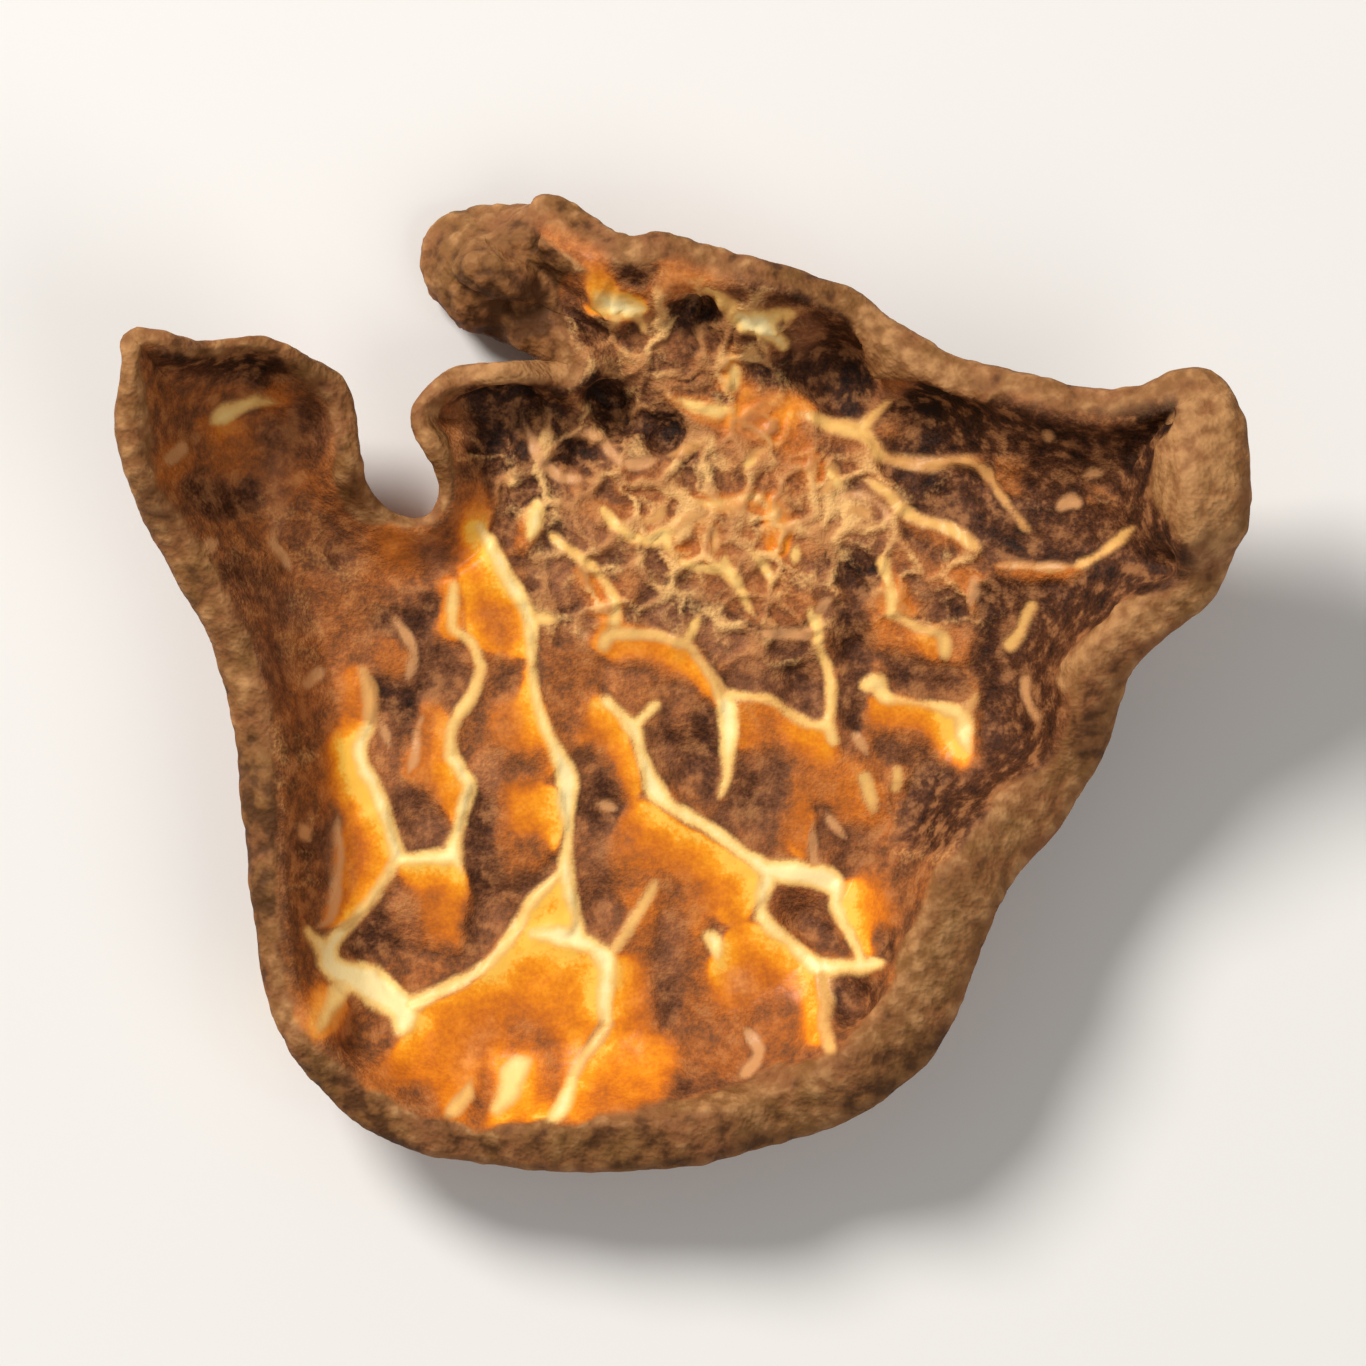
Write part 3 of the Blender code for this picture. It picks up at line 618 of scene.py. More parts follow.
def draw_strokes(strokes):
    """Signed distance to the nearest stroke's edge, below nought inside it, and its tone."""
    distance, tone = np.full(gx.shape, FAR), np.zeros(gx.shape)
    for value, points in strokes:
        path = smooth_points(tapered(points), STROKE_STEPS, False)
        for (ax, ay, aw), (bx, by, bw) in zip(path[:-1], path[1:]):
            area = grid_window([(ax, ay), (bx, by)], FAR)
            x, y = gx[area] - ax, gy[area] - ay
            dx, dy = bx - ax, by - ay
            along = np.clip((x * dx + y * dy) / (dx * dx + dy * dy), 0, 1)
            away = np.hypot(x - along * dx, y - along * dy) - (aw + (bw - aw) * along)
            closer = away < distance[area]
            distance[area] = np.where(closer, away, distance[area])
            tone[area] = np.where(closer, value, tone[area])
    return distance, tone


vein_field, tone_field = draw_strokes(VEINS)
vein_field += WIGGLE * soft_noise(gx, gy, 0.35, 31)
print("veins cover", round(float((vein_field < 0).sum()) * DETAIL_STEP ** 2, 1), "mm2")

# %% [markdown]
# ## Cells of the flesh
#
# Between the veins the flesh has dried in cells: clear amber in some, dull and spore-filled brown
# in others. One number can hold both, if it runs along a scale of pigments from near-black through
# umber, rust and ember to amber and honey. Its near-black end also serves as painted shadow, in the
# cells that lie over the dug hollows. A second number, rose, greys a cell towards a dusty pink. Each
# cell is a closed loop of points that is filled with its two numbers, later cells over earlier
# ones. The foot of the slice is drawn here: broad amber panes between thick veins.

# %% Cells: the foot of the slice
# HOLLOW_SHADOW is painted shadow: the near-black of the cells that lie over the dug hollows.
HOLLOW_SHADOW, DUSK, UMBER, RUST, EMBER, AMBER, HONEY = 0.04, 0.16, 0.30, 0.46, 0.60, 0.76, 0.88
FOOT_CELLS = [
    (AMBER, 0, [(-6.2, -7.0), (-5.6, -6.75), (-5.0, -6.5), (-4.4, -6.1), (-4.0, -5.6), (-3.6, -5.2),
                (-3.0, -5.5), (-2.3, -5.7), (-1.9, -6.1), (-1.85, -6.8), (-1.9, -7.4), (-2.2, -7.9),
                (-2.6, -8.4), (-2.8, -9.0), (-3.2, -9.6), (-4.4, -9.75), (-5.4, -9.7),
                (-6.3, -9.5), (-6.9, -9.0), (-6.8, -8.3), (-6.6, -7.8), (-6.45, -7.4)]),
    (HONEY, 0, [(-4.3, -5.9), (-3.6, -5.3), (-2.9, -5.8), (-2.1, -6.0), (-2.1, -7.0), (-2.5, -7.7),
                (-3.0, -7.2), (-3.8, -6.7), (-4.6, -6.6)]),
    (0.82, 0, [(-6.3, -7.4), (-5.9, -7.15), (-5.3, -7.6), (-5.1, -8.3), (-5.6, -8.8), (-6.3, -8.6),
               (-6.5, -8.1)]),
    (0.50, 0, [(-4.1, -7.5), (-3.7, -7.2), (-3.3, -7.4), (-2.9, -7.9), (-2.7, -8.4), (-2.8, -9.1),
               (-3.2, -9.4), (-3.5, -9.0), (-3.3, -8.5), (-3.5, -8.1), (-4.0, -8.1),
               (-4.2, -7.8)]),
    (RUST, 0, [(-4.75, -8.3), (-4.4, -8.4), (-4.4, -9.2), (-4.7, -9.7), (-5.05, -9.3),
               (-4.9, -8.8)]),
    (0.38, 0, [(-6.8, -8.8), (-6.0, -8.75), (-5.6, -9.0), (-5.6, -9.5), (-6.3, -9.6),
               (-6.9, -9.2)]),
    (AMBER, .5, [(-4.6, -7.3), (-4.3, -7.6), (-4.5, -8.0), (-4.9, -8.9), (-5.3, -9.2), (-5.2, -8.6),
                 (-5.0, -7.9)]),
    (EMBER, .3, [(-7.3, -8.6), (-6.8, -8.3), (-6.6, -8.8), (-6.8, -9.1), (-7.4, -8.9)]),
    (0.80, 0, [(-1.75, -7.5), (-1.2, -7.4), (-.6, -7.4), (-.2, -7.6), (-.15, -8.2), (-.3, -8.9),
               (-.8, -9.3), (-1.6, -9.4), (-2.3, -9.5), (-2.8, -9.3), (-2.6, -8.8), (-2.3, -8.2),
               (-2.0, -7.9)]),
    (HONEY, 0, [(-1.6, -7.7), (-.7, -7.5), (-.35, -7.8), (-.5, -8.5), (-1.2, -8.7), (-1.7, -8.3)]),
    (EMBER, 0, [(-2.6, -8.9), (-2.0, -8.7), (-1.7, -9.1), (-2.1, -9.5), (-2.8, -9.5)]),
    (0.72, .1, [(-1.75, -5.9), (-1.3, -5.7), (-.8, -5.9), (-.7, -6.6), (-.65, -7.4), (-1.6, -7.5),
                (-1.75, -6.9)]),
    (RUST, 0, [(-1.5, -5.3), (-1.0, -5.0), (-.65, -5.2), (-.65, -5.8), (-1.3, -5.8), (-1.6, -5.7)]),
    (0.34, .55, [(-.6, -4.8), (-.1, -5.0), (.05, -5.6), (-.05, -6.2), (-.15, -6.9), (-.05, -7.5),
                 (-.55, -7.5), (-.7, -6.8), (-.65, -6.0)]),
    (0.22, .2, [(-.6, -6.5), (-.15, -6.5), (-.1, -7.4), (-.5, -7.4)]),
    (RUST, .1, [(0, -5.5), (.4, -5.5), (.5, -6.2), (.45, -7.0), (.5, -7.7), (.2, -8.4), (-.2, -7.8),
                (-.1, -6.8), (0, -6.1)]),
    (0.80, 0, [(.5, -5.9), (.8, -5.4), (1.2, -5.1), (1.7, -5.1), (2.1, -5.35), (2.4, -5.6),
               (2.9, -6.0), (3.05, -6.6), (3.0, -7.2), (3.15, -7.9), (2.6, -7.8), (2.4, -7.2),
               (1.9, -7.0), (1.4, -7.1), (.8, -7.1), (.5, -6.7)]),
    (0.58, 0, [(1.5, -6.6), (2.3, -6.3), (2.5, -6.9), (2.2, -7.3), (1.5, -7.1)]),
    (0.84, 0, [(2.4, -5.9), (2.9, -6.2), (2.95, -7.0), (2.7, -7.2), (2.4, -6.8)]),
    (AMBER, .6, [(.9, -6.3), (1.3, -6.1), (1.6, -6.6), (1.3, -6.9), (.95, -6.7)]),
    (0.42, 0, [(1.5, -7.0), (2.4, -6.9), (2.65, -7.3), (2.65, -7.9), (2.2, -8.3), (1.7, -8.2),
               (1.8, -7.6)]),
    (0.42, .1, [(.5, -7.1), (1.3, -7.0), (1.6, -7.3), (1.35, -7.7), (1.4, -8.1), (.9, -8.6),
                (.3, -8.7), (.1, -8.1), (.4, -7.5)]),
    (UMBER, .1, [(-.1, -8.3), (.3, -8.5), (.2, -9.0), (-.3, -9.2), (-.4, -8.8)]),
    (UMBER, .1, [(3.2, -6.35), (4.35, -6.3), (4.4, -6.9), (4.1, -7.3), (3.8, -7.6), (3.6, -7.8),
                 (3.3, -7.4), (3.2, -6.9)]),
    (DUSK, 0, [(3.2, -6.4), (4.3, -6.35), (4.25, -6.65), (3.5, -6.7), (3.4, -7.3), (3.2, -7.1)]),
    (0.25, .25, [(2.1, -4.7), (2.3, -4.35), (2.6, -4.35), (2.9, -4.65), (3.2, -5.0), (3.45, -5.4),
                 (3.3, -5.75), (2.8, -5.5), (2.4, -5.3), (2.15, -5.0)]),
    (0.80, 0, [(3.45, -4.2), (4.0, -4.0), (4.5, -4.1), (4.65, -4.6), (4.6, -5.2), (4.5, -5.6),
               (4.2, -5.9), (3.9, -5.5), (3.7, -5.1), (3.5, -4.8)]),
    (HONEY, 0, [(3.6, -4.4), (4.2, -4.3), (4.3, -4.8), (3.9, -5.0), (3.65, -4.8)]),
    (DUSK, 0, [(4.35, -5.3), (4.7, -5.3), (4.75, -5.9), (4.4, -6.0)]),
    (UMBER, .1, [(4.6, -3.9), (5.2, -3.6), (5.3, -4.6), (5.0, -5.2), (4.7, -4.9)]),
]

print(len(FOOT_CELLS), "cells at the foot")

# %% [markdown]
# ## The left half
#
# On the left, long amber cells lie beside a vein and dull ones fill the gaps between them. A paler
# or darker loop inside a large cell shades it, so that no cell is one flat colour.

# %% Cells: the left half
LEFT_CELLS = [
    (0.78, 0, [(-7.75, .75), (-7.35, .7), (-7.2, .1), (-7.2, -.5), (-7.4, -1.0), (-7.45, -1.4),
               (-7.2, -1.9), (-6.95, -2.4), (-6.75, -3.0), (-6.55, -3.5), (-6.75, -3.9),
               (-7.1, -4.4), (-7.5, -4.9), (-7.9, -5.2), (-8.4, -5.2), (-8.15, -4.5), (-8.0, -3.6),
               (-7.9, -3.0), (-7.9, -2.4), (-8.1, -1.7), (-8.3, -1.2), (-8.1, -.8), (-7.85, -.4)]),
    (0.62, .1, [(-7.75, .75), (-7.35, .7), (-7.2, .1), (-7.25, -.6), (-7.7, -.9), (-7.85, -.4)]),
    (HONEY, .1, [(-7.9, -1.0), (-7.45, -1.1), (-7.35, -1.8), (-7.1, -2.4), (-7.5, -2.5),
                 (-7.9, -1.8)]),
    (0.72, 0, [(-7.8, -2.9), (-7.3, -2.7), (-7.1, -3.4), (-7.4, -4.4), (-7.8, -4.3)]),
    (0.78, 0, [(-6.6, -3.9), (-6.3, -3.65), (-5.9, -3.65), (-5.3, -3.65), (-4.95, -4.0),
               (-4.85, -4.6), (-4.9, -5.2), (-5.1, -5.6), (-5.5, -5.75), (-5.75, -5.6),
               (-5.95, -5.1), (-6.1, -4.7), (-6.4, -4.3)]),
    (HONEY, 0, [(-5.6, -3.8), (-5.1, -3.9), (-5.0, -4.5), (-5.3, -4.6), (-5.6, -4.3)]),
    (0.60, 0, [(-5.9, -4.5), (-5.6, -4.5), (-5.5, -5.2), (-5.5, -5.7), (-5.9, -5.4)]),
    (0.25, .1, [(-7.85, -5.6), (-7.5, -5.25), (-7.1, -4.8), (-6.8, -4.4), (-6.55, -4.05),
                 (-6.3, -4.4), (-6.1, -5.2), (-5.9, -5.6), (-5.5, -5.75), (-5.0, -5.6),
                 (-4.9, -5.2), (-4.4, -5.9), (-5.0, -6.3), (-5.6, -6.55), (-6.2, -6.85),
                 (-6.75, -6.7), (-7.0, -6.2), (-7.05, -5.85), (-7.5, -5.9)]),
    (DUSK, 0, [(-7.7, -5.6), (-7.2, -5.1), (-6.9, -4.8), (-6.95, -5.3), (-7.3, -5.7)]),
    (0.34, .1, [(-6.8, -5.9), (-6.1, -5.8), (-5.4, -5.9), (-5.5, -6.4), (-6.2, -6.7),
                (-6.7, -6.5)]),
    (RUST, .65, [(-6.7, -4.6), (-6.4, -4.35), (-6.15, -4.7), (-6.1, -5.3), (-6.3, -5.5),
                 (-6.6, -5.1)]),
    (0.23, .1, [(-5.0, -2.1), (-4.7, -2.2), (-4.3, -2.3), (-4.15, -2.8), (-4.25, -3.3),
                (-3.7, -3.4), (-3.3, -3.4), (-3.0, -3.5), (-2.95, -3.9), (-3.3, -4.4),
                (-3.6, -4.8), (-3.9, -5.3), (-4.25, -5.8), (-4.6, -5.8), (-4.9, -5.3),
                (-4.75, -4.6), (-4.95, -4.0), (-5.1, -3.5), (-5.1, -3.0)]),
    (0.32, .45, [(-4.75, -4.5), (-4.2, -4.4), (-4.1, -5.0), (-4.3, -5.5), (-4.7, -5.3)]),
    (UMBER, .1, [(-8.0, -7.8), (-7.7, -7.1), (-7.4, -6.8), (-7.0, -6.9), (-6.7, -7.3),
                 (-6.65, -7.8), (-6.8, -8.3), (-7.2, -8.65), (-7.7, -8.5), (-8.2, -8.1)]),
    (0.64, .35, [(-8.6, -6.5), (-8.1, -6.5), (-7.7, -6.9), (-7.9, -7.5), (-8.5, -7.8),
                 (-8.6, -7.2)]),
    (0.34, 0, [(-9.3, -5.3), (-8.8, -5.1), (-8.4, -5.6), (-8.3, -6.3), (-8.9, -6.5), (-9.3, -6.1)]),
    (0.38, .1, [(-9.0, -3.8), (-8.5, -3.6), (-8.3, -4.3), (-8.5, -5.0), (-9.0, -5.0)]),
    (0.66, .2, [(-6.2, -.1), (-5.6, -.15), (-5.35, -.6), (-5.35, -1.3), (-5.2, -1.7), (-5.0, -2.0),
                (-5.1, -2.4), (-5.25, -3.0), (-5.5, -2.7), (-5.9, -2.1), (-6.2, -1.9),
                (-6.5, -1.7), (-6.3, -1.2), (-6.1, -.8)]),
    (0.72, 0, [(-5.9, -1.5), (-5.5, -1.5), (-5.3, -2.0), (-5.35, -2.5), (-5.7, -2.2)]),
    (0.30, .4, [(-6.6, -2.0), (-6.2, -2.0), (-5.8, -2.3), (-5.5, -2.8), (-5.35, -3.4),
                (-6.0, -3.5), (-6.55, -3.4), (-6.75, -2.8)]),
    (0.24, .2, [(-6.05, 1.2), (-5.4, 1.25), (-5.05, 1.15), (-4.85, .8), (-4.9, .3), (-5.25, -.05),
                (-5.7, .15), (-6.1, .1), (-6.15, .7)]),
    (0.78, 0, [(-5.0, 4.0), (-4.6, 4.0), (-4.3, 3.2), (-4.0, 2.6), (-3.7, 2.1), (-3.6, 1.6),
               (-3.55, .9), (-3.7, .5), (-4.05, .7), (-4.3, .9), (-4.55, 1.1), (-4.9, 1.5),
               (-5.05, 2.0), (-5.15, 2.6), (-5.2, 3.3)]),
    (EMBER, .1, [(-4.9, 2.0), (-4.4, 2.3), (-3.9, 2.1), (-3.75, 1.5), (-4.1, 1.2), (-4.6, 1.3)]),
    (0.40, .2, [(-4.7, 1.2), (-4.2, 1.0), (-3.7, .9), (-3.8, .5), (-4.1, .45), (-4.5, .7)]),
    (0.30, .1, [(-4.65, 1.0), (-4.2, .8), (-3.85, .6), (-3.9, .1), (-4.25, -.3), (-4.5, -.7),
                (-4.85, -1.2), (-5.25, -1.45), (-5.3, -1.1), (-5.15, -.6), (-4.8, -.05),
                (-4.65, .4)]),
    (0.74, 0, [(-3.65, .6), (-3.4, .1), (-3.25, -.5), (-3.0, -1.1), (-2.85, -1.5), (-3.3, -1.8),
               (-3.8, -1.4), (-4.2, -1.05), (-4.45, -.6), (-4.3, -.2), (-3.95, 0), (-3.8, .3)]),
    (0.64, .35, [(-4.4, -.3), (-4.0, -.2), (-3.8, -.7), (-4.0, -1.0), (-4.4, -.8)]),
    (0.48, 0, [(-3.7, -1.2), (-3.2, -1.1), (-2.95, -1.5), (-3.3, -1.9), (-3.7, -1.7)]),
    (RUST, .85, [(-4.95, -1.3), (-4.5, -1.1), (-4.1, -1.3), (-4.0, -1.9), (-4.2, -2.2),
                 (-4.6, -2.3), (-4.95, -1.9)]),
    (0.33, .1, [(-4.15, -1.4), (-3.8, -1.35), (-3.4, -1.75), (-3.1, -1.95), (-3.9, -2.0),
                (-4.1, -1.85)]),
    (0.82, 0, [(-4.05, -2.0), (-3.5, -1.9), (-2.9, -2.0), (-2.8, -2.5), (-2.8, -3.0), (-2.85, -3.4),
               (-3.1, -3.5), (-3.5, -3.25), (-3.9, -3.4), (-4.25, -3.3), (-4.15, -2.7)]),
    (0.48, .1, [(-4.3, -3.1), (-3.8, -3.05), (-3.3, -3.1), (-3.0, -3.5), (-3.3, -3.9),
                (-3.9, -4.1), (-4.3, -3.8)]),
    (HONEY, 0, [(-3.75, -5.2), (-3.6, -4.8), (-3.2, -4.3), (-2.8, -4.0), (-2.65, -4.6),
                (-2.6, -5.2), (-3.0, -5.5), (-3.5, -5.6)]),
    (0.39, .3, [(-8.9, .25), (-8.3, .3), (-8.0, -.1), (-8.2, -.7), (-8.7, -.8), (-9.0, -.4)]),
    (RUST, 0, [(-7.0, 1.5), (-6.5, 1.6), (-6.3, 1.0), (-6.4, .5), (-6.8, .4), (-7.05, .9)]),
    (DUSK, .1, [(-7.1, .4), (-6.6, .3), (-6.0, .1), (-6.2, -.5), (-6.7, -.5), (-7.0, -.1)]),
    (0.38, .6, [(-6.95, -.4), (-6.7, -.4), (-6.5, -1.2), (-6.6, -2.0), (-6.9, -1.8), (-7.1, -1.2)]),
    (0.62, .1, [(-5.65, 2.7), (-5.2, 2.8), (-5.1, 2.0), (-5.1, 1.4), (-5.4, 1.25), (-5.65, 1.5),
                (-5.7, 2.1)]),
    (DUSK, .1, [(-7.1, 2.0), (-6.4, 2.1), (-5.8, 2.4), (-5.75, 1.6), (-6.0, 1.2), (-6.1, .6),
                (-6.3, 1.3), (-6.9, 1.6)]),
    (0.34, .3, [(-7.2, 2.4), (-6.7, 2.7), (-6.1, 2.7), (-6.1, 2.2), (-6.7, 2.0)]),
    (0.66, .2, [(-7.0, 4.1), (-6.3, 3.95), (-5.9, 3.8), (-5.9, 3.2), (-6.2, 2.9), (-6.7, 2.9),
                (-7.0, 3.4)]),
    (0.36, .6, [(-6.1, 3.6), (-5.6, 3.6), (-5.4, 3.1), (-5.7, 2.8), (-6.0, 3.0)]),
    (0.42, .3, [(-9.2, 2.8), (-8.6, 3.0), (-7.6, 2.6), (-7.2, 1.8), (-7.2, 1.0), (-7.8, .8),
                (-8.6, .9), (-9.2, 1.6)]),
    (0.34, .5, [(-9.3, 2.3), (-8.8, 2.4), (-8.4, 1.9), (-8.6, 1.5), (-9.2, 1.6)]),
]

print(len(LEFT_CELLS), "cells on the left")

# %% [markdown]
# ## The middle and the right
#
# In the middle, dull and dusty pink cells take over, and small lit ones sit between the thin veins.
# Towards the right the flesh turns up into shadow, so the cells there are larger and darker.

# %% Cells: the middle and the right
MIDDLE_CELLS = [
    (0.70, .15, [(-2.5, 3.0), (-1.9, 2.8), (-1.5, 2.3), (-1.45, 1.7), (-.8, 1.55), (-.2, 1.4),
                 (.25, 1.15), (.55, .6), (.75, .1), (.65, -.4), (.3, 0), (.1, .3), (-.3, .5),
                 (-.7, .7), (-1.2, .8), (-1.8, .85), (-2.15, 1.2), (-2.0, 1.7), (-2.3, 2.2)]),
    (0.78, 0, [(-.7, 1.25), (-.1, 1.2), (.3, .8), (.45, .2), (.1, .3), (-.3, .65)]),
    (0.36, .15, [(-3.3, 1.6), (-2.7, 1.4), (-2.2, 1.2), (-1.9, .75), (-1.95, .3), (-2.15, 0),
                 (-2.4, -.5), (-2.45, -1.0), (-2.7, -1.3), (-3.0, -.9), (-3.15, 0), (-3.35, .8)]),
    (0.32, 0, [(-3.3, 1.6), (-2.9, 1.6), (-2.9, 1.2), (-3.25, 1.1)]),
    (0.46, .5, [(-1.75, .55), (-.9, .55), (-.85, .1), (-1.2, -.35), (-1.45, -.25), (-1.75, .1)]),
    (0.68, .1, [(-2.2, 0), (-1.8, -.1), (-1.45, -.55), (-1.2, -1.1), (-1.0, -1.6), (-.95, -2.1),
                (-1.3, -2.4), (-1.6, -1.9), (-1.9, -1.35), (-2.3, -1.15), (-2.5, -.7)]),
    (AMBER, 0, [(-1.6, -.7), (-1.25, -1.0), (-1.1, -1.5), (-1.35, -1.6), (-1.65, -1.2)]),
    (0.26, .1, [(-2.6, -1.3), (-2.1, -1.15), (-1.7, -1.7), (-1.35, -2.3), (-1.2, -2.7),
                (-1.6, -3.0), (-2.0, -2.9), (-2.5, -2.7), (-2.5, -2.0)]),
    (0.30, .35, [(-2.6, -2.7), (-2.0, -2.7), (-1.6, -2.8), (-1.55, -3.5), (-1.6, -4.2),
                 (-1.4, -4.9), (-1.5, -5.4), (-1.85, -5.75), (-2.2, -5.65), (-2.5, -5.2),
                 (-2.6, -4.4), (-2.6, -3.5)]),
    (0.50, 0, [(-1.65, -3.4), (-1.2, -3.7), (-.5, -3.7), (.3, -4.0), (.6, -4.4), (.6, -5.1),
               (.2, -5.4), (-.1, -5.0), (-.5, -4.7), (-.8, -5.0), (-1.1, -5.3), (-1.5, -5.4),
               (-1.45, -4.6), (-1.6, -4.0)]),
    (0.36, 0, [(-.6, -4.2), (-.2, -4.2), (-.2, -4.8), (-.6, -4.7)]),
    (0.82, 0, [(-1.35, -2.5), (-1.0, -2.3), (-.5, -2.5), (0, -2.85), (.5, -3.1), (1.0, -3.4),
               (1.5, -3.8), (1.7, -4.3), (1.5, -4.8), (1.3, -5.1), (.8, -5.15), (.5, -4.7),
               (.2, -4.2), (-.3, -3.9), (-.9, -3.7), (-1.4, -3.6), (-1.6, -3.2)]),
    (HONEY, 0, [(-.6, -2.7), (.1, -3.1), (.9, -3.6), (1.4, -4.1), (1.2, -4.6), (.7, -4.2),
                (.1, -3.7), (-.6, -3.3)]),
    (0.64, 0, [(-1.5, -2.8), (-1.1, -2.9), (-1.0, -3.5), (-.4, -3.8), (-.9, -4.0), (-1.5, -3.7)]),
    (0.29, .15, [(-.6, .1), (-.3, .4), (0, .4), (.35, .05), (.7, -.3), (.8, -.9), (.8, -1.4),
                 (.75, -1.9), (.6, -2.3), (.8, -2.9), (.3, -2.65), (-.1, -2.35), (-.5, -1.95),
                 (-.8, -1.5), (-.95, -1.0), (-.75, -.5)]),
    (0.36, .7, [(-.6, -1.1), (-.25, -1.1), (-.2, -1.5), (-.5, -1.6)]),
    (0.42, .6, [(-.2, -.15), (.1, -.2), (.15, -.6), (-.15, -.6)]),
    (DUSK, 0, [(.25, -.3), (.65, -.5), (.75, -1.5), (.55, -2.0), (.3, -1.4)]),
    (0.56, .1, [(1.1, 0), (1.9, 0), (2.4, -.4), (2.9, -.5), (3.25, -.7), (3.5, -1.2), (3.9, -1.4),
                (4.1, -2.0), (4.1, -2.8), (3.6, -2.8), (3.1, -2.4), (2.7, -2.0), (2.3, -1.6),
                (2.0, -1.25), (1.5, -1.35), (1.05, -1.3), (1.1, -.7)]),
    (AMBER, 0, [(2.3, -.6), (2.9, -.65), (3.2, -.9), (3.3, -1.4), (2.9, -1.5), (2.5, -1.2)]),
    (0.30, .35, [(1.0, -1.2), (1.6, -1.25), (2.1, -1.25), (2.4, -1.7), (2.2, -2.3), (2.0, -2.8),
                 (2.2, -3.2), (2.6, -3.6), (2.4, -3.85), (1.9, -3.85), (1.5, -3.5), (1.0, -3.2),
                 (.7, -2.9), (.8, -2.3), (1.0, -1.8)]),
    (0.22, .1, [(1.1, -1.6), (1.5, -1.9), (1.7, -2.5), (1.3, -2.6), (1.05, -2.2)]),
    (0.68, .1, [(2.4, -1.8), (2.75, -2.0), (2.85, -2.6), (2.8, -3.2), (2.65, -3.7), (2.3, -3.4),
                (2.15, -2.8), (2.3, -2.3)]),
    (0.52, 0, [(2.2, -2.9), (2.6, -2.9), (2.6, -3.5), (2.3, -3.4)]),
    (0.34, .2, [(2.9, -3.3), (3.4, -3.0), (4.2, -3.3), (4.6, -3.7), (4.2, -3.95), (3.4, -3.9),
                (3.0, -3.7)]),
    (0.21, .45, [(1.0, .6), (1.3, .55), (1.6, .9), (2.1, 1.3), (2.6, 1.35), (3.0, 1.05), (3.2, .5),
                 (3.15, -.1), (3.05, -.45), (2.6, -.4), (2.2, -.15), (1.6, .1), (1.0, .25)]),
    (DUSK, .2, [(2.3, .9), (2.8, .9), (3.1, .5), (3.0, -.2), (2.6, -.1), (2.4, .3)]),
    (0.44, .8, [(1.1, 1.3), (1.7, 1.2), (1.9, .8), (1.5, .6), (1.0, .8)]),
    (DUSK, 0, [(3.3, 2.1), (3.9, 2.1), (4.3, 1.4), (4.1, .7), (4.1, -.3), (3.9, -.8), (3.6, -.7),
               (3.4, -.3), (3.45, .5), (3.3, 1.2)]),
    (0.40, .7, [(.3, 1.9), (.8, 2.0), (1.1, 1.4), (.9, .9), (.6, 1.1), (.35, 1.4)]),
    (0.34, .35, [(-1.4, 2.3), (-.9, 2.7), (-.3, 2.7), (.15, 2.6), (.15, 2.0), (0, 1.5),
                 (-.5, 1.65), (-1.0, 1.65), (-1.45, 1.75)]),
    (0.42, .9, [(-.75, 2.2), (-.4, 2.3), (-.3, 1.8), (-.6, 1.7)]),
    (0.56, .4, [(-1.6, 2.8), (-1.2, 2.8), (-1.0, 2.3), (-1.3, 2.0), (-1.6, 2.3)]),
    (0.58, .1, [(4.2, 1.9), (4.7, 1.9), (5.2, 1.7), (5.7, 1.6), (5.9, 1.2), (5.7, .9), (5.1, .85),
                (4.6, .95), (4.2, 1.3)]),
    (AMBER, 0, [(5.1, 1.5), (5.6, 1.5), (5.75, 1.1), (5.3, 1.0)]),
    (0.58, .5, [(5.9, 1.6), (6.4, 1.5), (6.4, .9), (6.0, .7)]),
    (0.24, .15, [(4.4, .9), (5.0, .85), (5.6, .85), (6.3, .65), (6.5, .1), (6.2, -.2), (5.8, -.05),
                 (5.2, 0), (4.8, .3), (4.5, .5)]),
    (0.70, .1, [(4.2, .1), (4.8, 0), (5.4, -.1), (6.0, -.2), (6.4, -.5), (6.5, -1.1), (6.2, -1.6),
                (5.8, -1.6), (5.5, -1.2), (5.1, -.85), (4.5, -.8), (4.15, -.5)]),
    (0.92, .1, [(5.6, -.3), (6.1, -.35), (6.4, -.7), (6.3, -1.3), (5.9, -1.2), (5.6, -.8)]),
    (0.30, .2, [(4.3, -.8), (5.0, -.85), (5.5, -1.2), (5.6, -1.6), (4.9, -1.5), (4.3, -1.4)]),
    (DUSK, .15, [(5.1, -1.6), (5.6, -1.5), (6.2, -1.6), (6.9, -1.4), (7.3, -1.8), (7.0, -2.1),
                 (6.6, -2.7), (6.2, -3.3), (5.5, -3.5), (5.0, -3.2), (4.6, -2.8), (4.9, -2.1)]),
    (0.42, .3, [(4.4, -1.6), (5.1, -1.6), (4.9, -2.2), (4.7, -2.9), (4.8, -3.4), (4.3, -3.3),
                (4.3, -2.4)]),
    (0.15, .1, [(6.5, 2.4), (7.0, 2.7), (7.6, 2.6), (8.3, 2.7), (9.0, 2.6), (9.5, 2.8), (9.5, 2.0),
                (8.9, 1.5), (8.5, 1.0), (8.2, .4), (8.4, -.2), (8.5, -.8), (8.2, -1.4),
                (7.5, -1.7), (7.0, -1.6), (6.7, -1.1), (6.7, -.3), (6.6, .4), (6.5, 1.0),
                (6.7, 1.6)]),
    (0.24, .1, [(7.0, 2.3), (7.4, 2.4), (7.5, 1.7), (7.2, 1.4), (6.9, 1.7)]),
    (0.50, 0, [(4.4, -2.0), (4.0, -1.9), (3.9, -2.4), (4.1, -3.0), (4.5, -2.8)]),
]

print(len(MIDDLE_CELLS), "cells in the middle and on the right")
